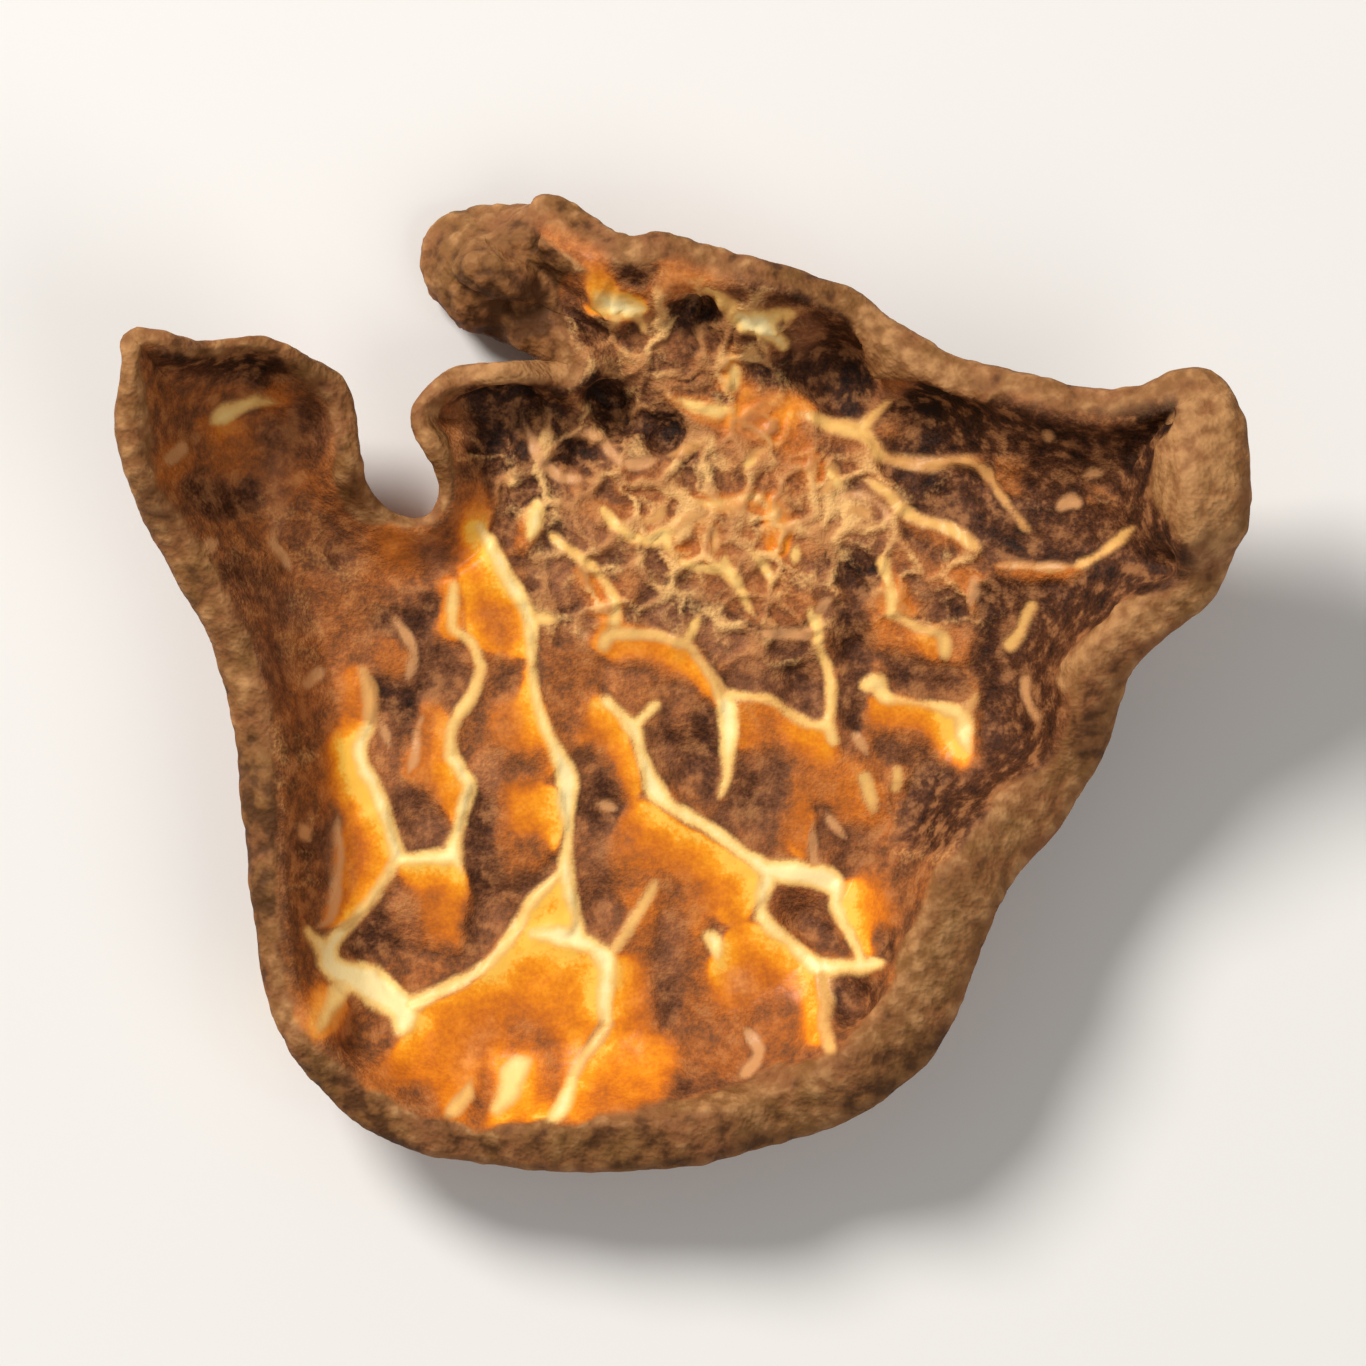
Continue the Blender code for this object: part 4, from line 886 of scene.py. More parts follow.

# %% [markdown]
# ## The crinkled top, the wing and the horn
#
# The top has crinkled, so its cells are small, broken and close together. The wing and the horn are
# thin and deep brown. These cells are filled first, because some of the others lie over them.

# %% Cells: the crinkled top, the wing and the horn
# Painted shadow in the dug hollows: the near-black cells over the hollows at (3.4, 7.3), (5.4, 6.2),
# (10.8, 6.5), (10.9, 3.0), (-3.7, 6.8) and (-4.7, 6.75) under the shoulder rim, (-2.45, 5.6), (-1.6,
# 6.5), (-0.5, 6.05), (0.15, 8.75) and (-1.15, 9.75).
TOP_CELLS = [
    (0.48, .3, [(-2.6, 4.6), (-1.7, 5.2), (-.6, 5.4), (.2, 5.9), (1.2, 6.4), (2.4, 6.6), (3.2, 6.2),
                (4.1, 5.9), (4.5, 5.1), (5.0, 4.2), (5.0, 3.2), (4.9, 2.3), (4.2, 1.9), (3.4, 2.2),
                (2.4, 1.7), (1.5, 1.7), (.6, 2.2), (-.4, 2.7), (-1.4, 2.9), (-2.2, 3.4)]),
    (0.40, .25, [(-2.4, 7.4), (-1.8, 7.9), (-2.0, 8.7), (-1.6, 9.4), (-.8, 9.9), (.3, 9.9),
                 (1.2, 9.3), (2.4, 8.9), (2.7, 8.0), (2.2, 7.3), (1.3, 7.1), (.4, 6.9),
                 (-.6, 6.9), (-1.4, 7.1)]),
    (0.66, .25, [(-.4, 6.85), (.3, 6.9), (.8, 6.6), (1.1, 6.8), (1.5, 7.2), (2.2, 7.2), (2.7, 6.9),
                 (3.0, 6.4), (2.5, 6.2), (2.6, 5.9), (2.0, 5.7), (1.4, 5.9), (.8, 6.1), (.3, 6.2),
                 (0, 6.4)]),
    (0.82, .1, [(1.9, 6.9), (2.3, 6.8), (2.3, 6.0), (1.9, 6.1)]),
    (0.80, .1, [(.85, 7.8), (1.2, 7.8), (1.4, 7.1), (1.0, 6.9), (.7, 7.1)]),
    (0.22, .2, [(1.4, 7.9), (2.0, 7.8), (2.4, 7.4), (2.1, 7.1), (1.6, 7.1), (1.35, 7.4)]),
    (0.14, .1, [(2.4, 8.1), (2.8, 8.6), (3.4, 8.8), (3.9, 8.4), (4.15, 7.5), (4.2, 6.8),
                (3.9, 6.4), (3.5, 6.4), (3.0, 6.7), (2.6, 7.1), (2.3, 7.4)]),
    (HOLLOW_SHADOW, 0, [(3.3, 7.5), (4.0, 7.3), (4.1, 6.8), (3.8, 6.5), (3.4, 6.7)]),
    (0.14, .1, [(1.2, 9.7), (2.2, 9.6), (3.1, 9.2), (3.7, 8.8), (3.5, 8.5), (2.8, 8.9), (2.2, 9.0),
                (1.5, 9.1)]),
    (0.32, .6, [(1.3, 9.6), (1.9, 9.6), (2.0, 9.2), (1.5, 9.1)]),
    (0.38, .6, [(2.4, 8.5), (2.8, 8.7), (3.0, 8.2), (2.8, 7.8), (2.4, 7.9)]),
    (0.05, 0, [(4.2, 6.3), (4.9, 6.8), (5.4, 7.1), (6.2, 7.0), (6.8, 6.9), (7.6, 6.7), (7.3, 6.2),
               (7.0, 5.6), (6.4, 5.4), (5.4, 5.4), (4.8, 5.5), (4.4, 5.8)]),
    (0.36, 0, [(4.2, 6.2), (4.7, 6.4), (4.9, 5.9), (4.5, 5.7)]),
    (0.12, .2, [(6.8, 6.9), (7.6, 6.9), (8.4, 6.8), (9.2, 6.8), (10.0, 6.9), (10.6, 7.0),
                (11.0, 7.2), (11.1, 6.6), (10.7, 5.9), (10.5, 5.2), (10.5, 4.4), (10.9, 3.9),
                (11.4, 3.4), (11.7, 2.8), (11.0, 2.4), (10.2, 2.4), (9.4, 2.6), (8.7, 2.6),
                (8.0, 2.7), (7.3, 2.9), (7.0, 3.4), (7.0, 4.2), (6.9, 5.0), (6.7, 5.8)]),
    (0.32, .25, [(8.2, 6.6), (9.0, 6.8), (9.8, 6.7), (9.7, 6.2), (8.8, 6.2)]),
    (0.40, 0, [(7.0, 5.4), (7.5, 5.5), (7.9, 5.0), (7.6, 4.5), (7.2, 4.7)]),
    (0.07, .1, [(9.9, 6.2), (10.4, 6.1), (10.5, 5.0), (10.1, 4.7), (9.8, 5.4)]),
    (0.17, .1, [(8.0, 5.2), (8.6, 4.8), (9.6, 4.7), (10.2, 4.5), (9.9, 4.0), (9.0, 3.5),
                (8.2, 3.4), (7.6, 3.9)]),
    (0.30, 0, [(9.0, 4.9), (9.6, 4.8), (9.5, 4.3), (9.0, 4.4)]),
    (0.02, 0, [(10.45, 6.9), (10.9, 7.2), (11.15, 6.8), (11.0, 6.2), (10.6, 5.8), (10.4, 6.3)]),
    (0.07, .3, [(10.2, 2.9), (10.4, 3.5), (10.8, 3.9), (11.3, 3.5), (11.7, 2.9), (11.3, 2.5),
                (10.8, 2.4), (10.4, 2.5)]),
    (0.52, 0, [(7.1, 3.1), (8.0, 3.1), (8.9, 3.0), (8.9, 2.7), (8.0, 2.6), (7.2, 2.75)]),
    (0.13, .2, [(4.4, 5.3), (5.0, 5.3), (6.0, 5.2), (6.6, 5.0), (7.0, 4.4), (7.2, 3.8), (6.7, 3.6),
                (6.0, 4.0), (5.3, 4.2), (5.0, 4.6), (4.7, 4.9)]),
    (0.54, 0, [(5.0, 4.1), (5.5, 3.9), (6.2, 3.7), (6.7, 3.3), (6.6, 3.0), (5.9, 3.3), (5.3, 3.6)]),
    (0.42, .2, [(5.9, 3.4), (6.5, 3.3), (7.0, 3.0), (6.8, 2.7), (6.1, 2.9)]),
    (0.56, .4, [(4.8, 3.5), (5.4, 3.4), (6.0, 3.0), (6.2, 2.6), (5.6, 2.6), (5.0, 2.9)]),
    (0.66, .2, [(6.0, 3.0), (6.6, 2.9), (6.8, 2.6), (6.6, 2.0), (6.3, 2.0), (6.2, 2.6)]),
    (0.32, .5, [(5.2, 2.7), (5.9, 2.6), (6.2, 2.4), (6.3, 2.0), (5.9, 1.8), (5.4, 2.0)]),
    (DUSK, .2, [(5.7, 2.3), (6.2, 2.3), (6.4, 1.9), (5.9, 1.8)]),
    (0.60, .2, [(4.3, 2.9), (4.8, 2.9), (5.1, 2.4), (5.3, 2.0), (4.8, 1.8), (4.4, 2.0)]),
    (DUSK, .15, [(3.5, 3.3), (3.9, 3.5), (4.3, 3.3), (4.4, 2.8), (4.2, 2.4), (3.8, 2.4),
                 (3.5, 2.7)]),
    (0.40, .5, [(2.6, 3.2), (3.1, 3.2), (3.4, 2.8), (3.2, 2.5), (2.6, 2.6)]),
    (0.46, .5, [(3.2, 4.6), (3.8, 4.8), (4.4, 4.6), (4.7, 4.0), (4.5, 3.5), (3.9, 3.4),
                (3.4, 3.6)]),
    (0.82, .05, [(1.8, 4.7), (2.2, 4.4), (2.45, 3.9), (2.4, 3.3), (2.0, 3.2), (1.75, 3.7),
                 (1.7, 4.2)]),
    (0.66, 0, [(2.2, 5.9), (2.8, 5.8), (3.2, 5.3), (3.1, 4.8), (2.7, 4.8), (2.5, 5.2),
               (2.2, 5.5)]),
    (0.58, .5, [(1.9, 5.6), (2.3, 5.5), (2.4, 4.9), (2.2, 4.5), (1.9, 4.9)]),
    (0.44, .4, [(.9, 3.9), (1.4, 3.7), (1.7, 3.2), (1.6, 2.7), (1.2, 2.8), (1.1, 3.3)]),
    (0.60, 0, [(-.3, 4.0), (.1, 4.2), (.6, 4.1), (.8, 3.6), (.6, 3.1), (.1, 3.0), (-.3, 3.3)]),
    (0.56, .5, [(0, 3.8), (.25, 3.8), (.3, 3.4), (.05, 3.35)]),
    (0.40, .2, [(-.3, 5.5), (.3, 5.7), (.8, 5.5), (.7, 4.9), (.2, 4.7), (-.2, 4.9)]),
    (0.70, .1, [(.1, 4.7), (.8, 4.7), (1.5, 4.8), (1.9, 4.4), (1.4, 4.3), (.6, 4.2)]),
    (0.36, .4, [(-1.8, 3.9), (-1.3, 3.5), (-.6, 3.4), (-.5, 3.0), (-1.2, 2.9), (-1.9, 3.1)]),
    (0.42, .7, [(-2.7, 4.1), (-2.2, 4.1), (-1.8, 3.7), (-2.0, 3.3), (-2.5, 3.5)]),
    (0.34, .5, [(-3.6, 3.4), (-3.1, 3.5), (-2.6, 3.1), (-2.3, 2.6), (-2.7, 2.2), (-3.4, 2.3),
                (-3.7, 2.7)]),
    (0.50, .7, [(-3.0, 3.0), (-2.6, 2.9), (-2.5, 2.4), (-2.9, 2.3)]),
    (0.26, .1, [(-4.6, 5.0), (-4.0, 4.6), (-3.7, 4.0), (-3.8, 3.4), (-4.2, 3.6), (-4.5, 4.2)]),
    (0.60, .3, [(-5.0, 4.7), (-4.5, 4.7), (-4.4, 4.2), (-4.6, 3.8), (-5.1, 4.0)]),
    (0.60, .1, [(-3.75, 4.2), (-3.5, 4.4), (-3.3, 3.9), (-3.6, 3.3), (-3.9, 3.5)]),
    (0.32, .2, [(-2.4, 5.2), (-1.8, 5.3), (-1.6, 4.8), (-1.9, 4.4), (-2.4, 4.5)]),
    (0.28, 0, [(-5.5, 6.9), (-4.6, 7.2), (-3.6, 7.3), (-2.6, 7.2), (-2.4, 6.5), (-3.0, 5.4),
               (-3.7, 5.0), (-4.4, 4.9), (-5.2, 5.2), (-5.5, 6.0)]),
    (HOLLOW_SHADOW, 0, [(-5.3, 6.85), (-4.6, 7.05), (-3.9, 7.1), (-3.0, 7.1), (-2.7, 6.8), (-3.1, 6.5),
               (-3.8, 6.5), (-4.5, 6.5), (-5.0, 6.5)]),
    (0.52, .6, [(-5.45, 6.4), (-5.0, 6.5), (-4.8, 6.0), (-5.0, 5.4), (-5.3, 5.5)]),
    (DUSK, 0, [(-4.75, 6.1), (-4.4, 6.1), (-4.3, 5.5), (-4.6, 5.4)]),
    (DUSK, .2, [(-4.3, 6.4), (-3.8, 6.3), (-3.5, 5.6), (-3.5, 5.0), (-3.9, 5.0), (-4.2, 5.6)]),
    (HOLLOW_SHADOW, 0, [(-2.8, 5.9), (-2.4, 5.9), (-2.0, 5.6), (-2.2, 5.3), (-2.7, 5.3), (-3.0, 5.6)]),
    (HOLLOW_SHADOW, 0, [(-2.3, 7.3), (-1.7, 7.4), (-1.4, 6.9), (-1.2, 6.3), (-1.6, 5.8), (-1.9, 6.1),
               (-2.1, 6.6)]),
    (0.06, 0, [(-1.0, 6.3), (-.5, 6.6), (0, 6.4), (.05, 6.0), (-.3, 5.65), (-.8, 5.65)]),
    (0.30, .3, [(-1.3, 7.2), (-.7, 7.3), (-.5, 6.8), (-.9, 6.5), (-1.2, 6.7)]),
    (0.01, 0, [(-.4, 8.75), (-.1, 9.0), (.4, 8.95), (.6, 8.7), (.3, 8.45), (-.2, 8.5)]),
    (0.24, 0, [(.5, 9.0), (.95, 8.8), (1.1, 8.4), (.7, 8.3), (.5, 8.6)]),
    (0.66, .45, [(-.95, 9.3), (-.6, 9.8), (-.1, 10.0), (.4, 9.7), (.7, 9.3), (.2, 9.15),
                 (-.4, 9.1)]),
    (0.60, .45, [(-3.7, 11.0), (-3.2, 11.3), (-2.5, 10.9), (-2.0, 10.4), (-1.5, 9.9), (-1.4, 9.2),
                 (-2.0, 9.1), (-2.3, 9.8), (-2.9, 10.2), (-3.4, 10.6)]),
    (0.08, 0, [(-1.7, 10.15), (-1.1, 10.1), (-.8, 9.7), (-1.1, 9.3), (-1.5, 9.4), (-1.75, 9.8)]),
    (0.24, .1, [(-2.2, 8.6), (-1.7, 8.6), (-1.6, 8.2), (-2.1, 8.1)]),
    (0.30, 0, [(-1.3, 8.6), (-1.0, 8.6), (-.9, 8.1), (-1.2, 8.1)]),
    (DUSK, 0, [(-2.9, 8.9), (-2.4, 9.0), (-2.2, 8.6), (-2.4, 8.2), (-2.8, 8.3)]),
    (0.84, .15, [(-2.3, 8.9), (-1.8, 9.2), (-1.2, 9.2), (-.9, 8.9), (-1.3, 8.6), (-1.9, 8.75)]),
    (0.74, .3, [(-2.1, 9.9), (-1.7, 9.6), (-1.5, 9.2), (-1.9, 9.0), (-2.2, 9.4)]),
    (0.37, .1, [(-12.2, 8.1), (-11.0, 7.95), (-9.8, 8.05), (-8.8, 7.5), (-8.1, 6.8), (-8.0, 5.4),
                (-7.7, 4.4), (-7.6, 3.4), (-8.4, 3.2), (-9.2, 3.0), (-10.2, 3.2), (-11.2, 3.9),
                (-12.0, 5.0), (-12.3, 6.4)]),
    (0.09, 0, [(-11.8, 8.0), (-10.8, 7.85), (-9.7, 7.95), (-9.0, 7.5), (-9.3, 7.1), (-10.2, 7.2),
               (-11.0, 7.3), (-11.9, 7.4)]),
    (0.48, .1, [(-10.9, 6.3), (-10.2, 6.3), (-9.8, 5.8), (-9.9, 5.2), (-10.6, 5.1),
                 (-11.0, 5.6)]),
    (0.60, .1, [(-10.9, 6.3), (-10.3, 6.35), (-10.2, 5.95), (-10.7, 5.8)]),
    (0.54, .2, [(-9.8, 6.7), (-9.4, 7.3), (-9.1, 7.1), (-9.0, 6.7)]),
    (0.28, .3, [(-9.7, 6.3), (-9.1, 6.3), (-8.9, 5.5), (-9.4, 5.2), (-9.7, 5.6)]),
    (0.50, .2, [(-12.0, 5.7), (-11.5, 5.9), (-11.2, 5.5), (-11.5, 4.9), (-11.9, 4.8)]),
    (0.40, .7, [(-9.5, 5.3), (-9.0, 5.3), (-9.1, 4.2), (-9.2, 3.5), (-9.5, 3.8)]),
    (0.20, .1, [(-11.3, 4.9), (-10.3, 4.9), (-9.6, 4.9), (-9.7, 4.3), (-10.6, 4.2), (-11.2, 4.4)]),
    (0.26, .4, [(-8.9, 6.6), (-8.4, 6.6), (-8.2, 5.8), (-8.6, 5.6)]),
]
CELLS = TOP_CELLS + MIDDLE_CELLS + LEFT_CELLS + FOOT_CELLS
print(len(TOP_CELLS), "cells at the top,", len(CELLS), "in all")

# %% [markdown]
# ## Fill the cells
#
# A loop is filled where its signed distance is below nought. Noise pushes the places about a little
# first, so no side stays straight. Cells that meet at a vein part sharply, because the vein covers
# their border, and away from the veins they run into each other. A loop that lies within one cell
# is a shade of that cell, and its edge is soft all round.

# %% Fill the cells
CELL_EDGE = 0.10
OPEN_EDGE = 0.26
SHADE_EDGE = 0.32
CELL_BORDER = 0.6
NESTED = 0.8
LARGEST_CELL = 16.0
BACKGROUND = 0.34
push_x = 0.10 * soft_noise(gx, gy, 0.7, 41) + 0.04 * soft_noise(gx, gy, 0.25, 42)
push_y = 0.10 * soft_noise(gx, gy, 0.7, 43) + 0.04 * soft_noise(gx, gy, 0.25, 44)


def rounded(points):
    """The closed loop with its corners rounded, as a list of pairs."""
    return [tuple(point) for point in smooth_points(points, 3, True)]


warmth_field = BACKGROUND + 0.08 * soft_noise(gx, gy, 0.9, 45)
warmth_field += 0.05 * soft_noise(gx, gy, 0.4, 46)
rose_field = 0.25 + 0.25 * soft_noise(gx, gy, 1.1, 47)
owner = np.zeros(gx.shape, int)
for number, (warmth, rose, points) in enumerate(CELLS, 1):
    area = grid_window(points, CELL_BORDER)
    away = loop_distance(gx[area] + push_x[area], gy[area] + push_y[area], rounded(points))
    within = away < 0
    share = np.bincount(owner[area][within], minlength=2)[1:].max() / within.sum()
    edge = CELL_EDGE + OPEN_EDGE * step_between(0.15, 0.65, vein_field[area])
    edge = np.full(away.shape, SHADE_EDGE) if share > NESTED else edge
    if share <= NESTED and within.sum() * DETAIL_STEP ** 2 < LARGEST_CELL:
        owner[area][within] = number
    cover = step_between(edge, -edge, away)
    warmth_field[area] += (warmth - warmth_field[area]) * cover
    rose_field[area] += (rose - rose_field[area]) * cover
warmth_field += 0.06 * soft_noise(gx, gy, 1.2, 49)
print("warmth from", warmth_field.min().round(2), "to", warmth_field.max().round(2))

# %% [markdown]
# ## Skin, crinkles, skin tones and painted light
#
# Where the flesh ends and the skin begins is drawn as one loop, because the turned-up rim shows a
# broad band on the right and hardly any around the horn. Ovals mark two more things: where the
# flesh has crinkled, and how much paler or darker the skin is. Some skin ovals are its own
# patches, and the others are painted shade and painted light: painted shadow under the knob and
# beside the strip, painted shade along the bottom edge, the left band and the right waist, and
# painted light on the shoulder rim and the lower right band. An oval is given by its place, its
# two half sizes, its turn in degrees and its strength.

# %% The edge of the flesh, crinkles, skin tones and painted light
FLESH = [
    (-12.2, 8.0), (-11.4, 7.85), (-10.6, 7.8), (-9.9, 7.95), (-9.3, 7.75), (-8.9, 7.4),
    (-8.5, 7.1), (-8.2, 6.7), (-8.05, 6.2), (-8.0, 5.6), (-7.95, 5.1), (-7.75, 4.6), (-7.4, 4.15),
    (-6.9, 3.95), (-6.3, 3.8), (-5.6, 3.95), (-5.25, 4.4), (-5.25, 5.0), (-5.4, 5.6),
    (-5.6, 6.1), (-5.5, 6.5), (-5.2, 6.85), (-4.6, 7.0), (-3.9, 7.1), (-3.3, 7.1), (-2.7, 7.0),
    (-2.35, 7.1), (-2.4, 7.6), (-2.6, 8.2), (-2.75, 8.8), (-2.7, 9.3), (-2.4, 9.6), (-1.9, 9.75),
    (-1.3, 9.9), (-.8, 10.0), (-.2, 10.1), (.6, 9.85), (1.3, 9.65), (2.2, 9.45), (3.0, 9.1),
    (3.6, 8.75), (3.75, 8.4), (4.0, 7.8), (4.2, 7.3), (4.6, 7.2), (5.2, 7.15), (5.9, 7.0),
    (6.6, 6.9), (7.4, 6.85), (8.2, 6.65), (9.0, 6.7), (9.8, 6.85), (10.4, 6.95), (10.9, 7.15),
    (11.1, 6.8), (10.95, 6.2), (10.5, 5.8), (10.4, 5.2), (10.5, 4.4), (10.9, 3.9), (11.3, 3.4),
    (11.6, 2.9), (11.4, 2.55), (10.6, 2.4), (9.9, 2.2), (9.35, 1.85), (8.9, 1.45), (8.5, 1.0),
    (8.27, .47), (8.45, -.12), (8.57, -.7), (8.2, -1.42), (7.4, -1.8), (7.0, -2.1), (6.7, -2.6),
    (6.15, -3.3), (5.6, -3.7), (5.3, -4.5), (4.95, -5.3), (4.75, -6.0), (4.4, -6.9), (3.9, -7.5),
    (3.5, -8.1), (2.6, -8.3), (2.0, -8.4), (1.1, -8.7), (.3, -8.9), (-.4, -9.1), (-1.2, -9.35),
    (-2.0, -9.5), (-3.0, -9.7), (-4.2, -9.7), (-5.3, -9.6), (-6.2, -9.45), (-6.9, -9.1),
    (-7.6, -8.7), (-8.3, -8.0), (-8.8, -7.4), (-9.1, -6.6), (-9.2, -5.8), (-9.15, -4.8),
    (-9.2, -3.8), (-9.3, -2.8), (-9.35, -1.8), (-9.4, -.8), (-9.5, .2), (-9.8, 1.2), (-10.1, 2.0),
    (-10.5, 2.8), (-11.1, 3.6), (-11.7, 4.4), (-12.0, 5.2), (-12.15, 6.0), (-12.2, 7.0),
]
CRINKLED = [
    (.8, 4.2, 4.4, 2.5, 0, 1.0), (-2.5, 5.6, 2.8, 1.3, 0, .8), (0, 8.2, 3.0, 1.4, 0, .9),
    (-8.8, 2.5, 1.7, 2.0, 0, .3), (5.6, 2.4, 1.5, 1.3, 0, .6), (-2.4, 2.6, 1.4, 1.4, 0, .6),
    (8.0, 4.4, 3.0, 2.2, 0, .25), (-10.3, 5.0, 1.8, 1.6, 0, .15), (1.5, 1.4, 2.0, .8, 0, .6),
    (5.5, -2.6, 1.3, 1.4, 0, .4), (-9.0, -2.5, .8, 2.6, 0, .4),
]
# Skin tones and painted light. The dark ovals under the knob, beside the strip and along the bottom,
# left and right waist edges are painted shade; the pale ones on the shoulder rim and the lower right
# band are painted light. The rest are the skin's own patches.
SKIN_TONES_AND_PAINTED_LIGHT = [
    (11.6, 5.2, .9, 2.1, 0, .75), (10.3, 1.95, 1.8, .5, 20, .45), (5.7, -5.2, .6, .8, 0, .45),
    (5.1, -6.7, .5, .7, 0, .4), (6.3, -4.2, .8, .8, 0, .1), (1.0, -10.2, 6.5, .6, 0, -.35),
    (-7.8, -9.3, 1.6, .6, -35, -.8), (4.9, -8.4, 1.2, .6, 45, -.8), (1.0, -9.3, 1.6, .5, -8, .2),
    (-9.8, .8, .4, 1.1, 0, .2), (-9.7, -3.4, .6, 2.6, 0, -.8), (-5.0, 10.2, .9, .7, 0, -.15),
    (-3.7, 8.9, 1.2, .8, 0, -.8), (-4.4, 8.6, 1.2, .4, -10, -.7), (-12.5, 6.3, .4, 1.8, 0, .2),
    (-10.8, 8.1, 2.0, .3, 0, -.15), (-4.0, 7.45, 1.7, .3, 0, .9), (-6.8, 4.1, .9, .3, -10, .5),
    (-5.9, 5.6, .3, 1.3, 0, .35), (8.0, 7.1, 3.5, .5, -10, .15), (5.0, 8.0, 1.2, .6, -35, .4),
    (2.4, 9.65, 1.5, .3, -15, -.4), (9.3, -.6, .5, 1.0, 0, -.7), (8.6, -2.0, .7, .6, 45, .1),
    (8.8, .8, .6, .8, 0, .45), (-2.5, 10.15, .3, 1.1, 43, 1.0), (-3.25, 10.1, .3, 1.0, 43, -.9),
    (-2.0, 10.5, .3, .7, 60, -.6), (-4.2, 9.3, .8, .5, -30, -.6), (-7.8, 6.2, .3, 1.2, 0, -.1),
    (-11.6, 3.2, .5, 1.0, 35, -.1), (7.2, -2.8, .6, .7, 40, .3),
]
OVAL_REACH = 1.6
OVAL_BORDER = 0.3


def paint_ovals(ovals, soft):
    """The sum of soft ovals, each with an edge that falls off over `soft` of its size."""
    field = np.zeros(gx.shape)
    for px, py, half_x, half_y, turn, strength in ovals:
        area = grid_window([(px, py)], OVAL_REACH * max(half_x, half_y) + OVAL_BORDER)
        x, y = gx[area] + push_x[area] - px, gy[area] + push_y[area] - py
        cos, sin = math.cos(math.radians(turn)), math.sin(math.radians(turn))
        radius = np.hypot((x * cos + y * sin) / half_x, (y * cos - x * sin) / half_y)
        field[area] += strength * step_between(1 + soft, 1 - soft, radius)
    return field


flesh_edge = loop_distance(gx + push_x, gy + push_y, rounded(FLESH))
flesh_edge += 0.14 * soft_noise(gx, gy, 1.1, 48) + 0.07 * soft_noise(gx, gy, 0.4, 50)
crinkle_field = np.clip(paint_ovals(CRINKLED, 0.35), 0, 1)
# Skin tones with painted shade and painted light, summed from the ovals.
skin_tone_and_painted_light_field = np.clip(paint_ovals(SKIN_TONES_AND_PAINTED_LIGHT, 0.5), -1, 1)
print("flesh covers", round(float((flesh_edge < 0).sum()) * DETAIL_STEP ** 2), "mm2")

# %% [markdown]
# ## Relief of the cut face
#
# Flesh shrinks more than veins as it dries, so the veins stand proud and the dull cells have sunk.
# Crinkled flesh has folds: their crests are the winding borders of a net of cells, and between them
# run the curly lines where a noise crosses nought. Sculpting could make them one by one, but fields
# can be tuned until they fit. Some hollows are dug as well, each given by its place, its half width
# and its depth.

# %% Relief of the cut face
# The near-black cells over several of these hollows are painted shadow.
PITS = [
    (0.15, 8.75, 0.36, 0.42), (-1.60, 6.50, 0.60, 0.75), (-0.50, 6.05, 0.42, 0.40),
    (-2.45, 5.60, 0.40, 0.40), (-3.70, 6.80, 0.60, 0.50), (-4.70, 6.75, 0.50, 0.40),
    (3.40, 7.30, 0.80, 0.55), (5.40, 6.20, 0.90, 0.45), (6.00, 4.65, 0.60, 0.30),
    (2.55, 0.45, 0.60, 0.35), (2.60, -4.95, 0.45, 0.35), (-6.30, -5.80, 0.70, 0.25),
    (-7.35, -7.60, 0.55, 0.30), (-6.10, -2.80, 0.50, 0.22), (-1.95, -4.60, 0.45, 0.22),
    (-4.40, -4.80, 0.60, 0.25), (3.75, -6.90, 0.45, 0.30), (0.00, -1.20, 0.55, 0.25),
    (3.80, 1.20, 0.40, 0.25), (10.80, 6.50, 0.35, 0.50), (10.90, 3.00, 0.50, 0.30),
    (-1.15, 9.75, 0.25, 0.15),
]
DULL_SINK = 0.13
DULL_BELOW, CLEAR_ABOVE = 0.15, 0.55
VEIN_RISE = 0.06
VEIN_SLOPE = 0.16
RIDGE_RISE = 0.15
RIDGE_SIZE = 1.05
CURL_SIZE = 0.62
FINE_SIZE = 0.28
FINE_RISE = 0.03
FOLD_SHADOW = 0.13


def folded_net(size, seed):
    """1 on the winding borders of a net of cells, falling to 0 away from them."""
    away = cell_net(gx + 3.0 * push_x, gy + 3.0 * push_y, size, seed)
    return step_between(0.16, 0.01, away + 0.05 * soft_noise(gx, gy, 0.8, seed + 1))


def curly_ridges(x, y, size, seed):
    """1 on the curly lines where a noise crosses nought, falling to 0 away from them."""
    level = soft_noise(x, y, size, seed) + 0.4 * soft_noise(x, y, size / 2, seed + 1)
    return step_between(0.36, 0.0, np.abs(level))


def vein_relief(vein, tone, warmth):
    """Veins stand proud, most where they are cream, and dull cells have sunk."""
    proud = VEIN_RISE * tone * np.exp(-np.maximum(vein, 0) / VEIN_SLOPE)
    return proud - DULL_SINK * step_between(CLEAR_ABOVE, DULL_BELOW, warmth)


curls = curly_ridges(gx + 2 * push_x, gy + 2 * push_y, CURL_SIZE, 57)
ridge_field = np.maximum(folded_net(RIDGE_SIZE, 51), 0.6 * curls)
fine_ridge = curly_ridges(gx + push_y, gy + push_x, FINE_SIZE, 53)
relief_field = vein_relief(vein_field, tone_field, warmth_field)
relief_field += crinkle_field * RIDGE_RISE * ridge_field
relief_field += (0.3 + 0.7 * crinkle_field) * FINE_RISE * fine_ridge
relief_field += 0.05 * soft_noise(gx, gy, 0.9, 11) + 0.02 * soft_noise(gx, gy, 0.3, 12)
between_folds = crinkle_field * (1 - ridge_field) * (warmth_field > DULL_BELOW)
warmth_field -= FOLD_SHADOW * between_folds
for px, py, half_width, depth in PITS:
    relief_field -= depth * np.exp(-((gx - px) ** 2 + (gy - py) ** 2) / half_width ** 2)
print("relief from", relief_field.min().round(2), "to", relief_field.max().round(2), "mm")

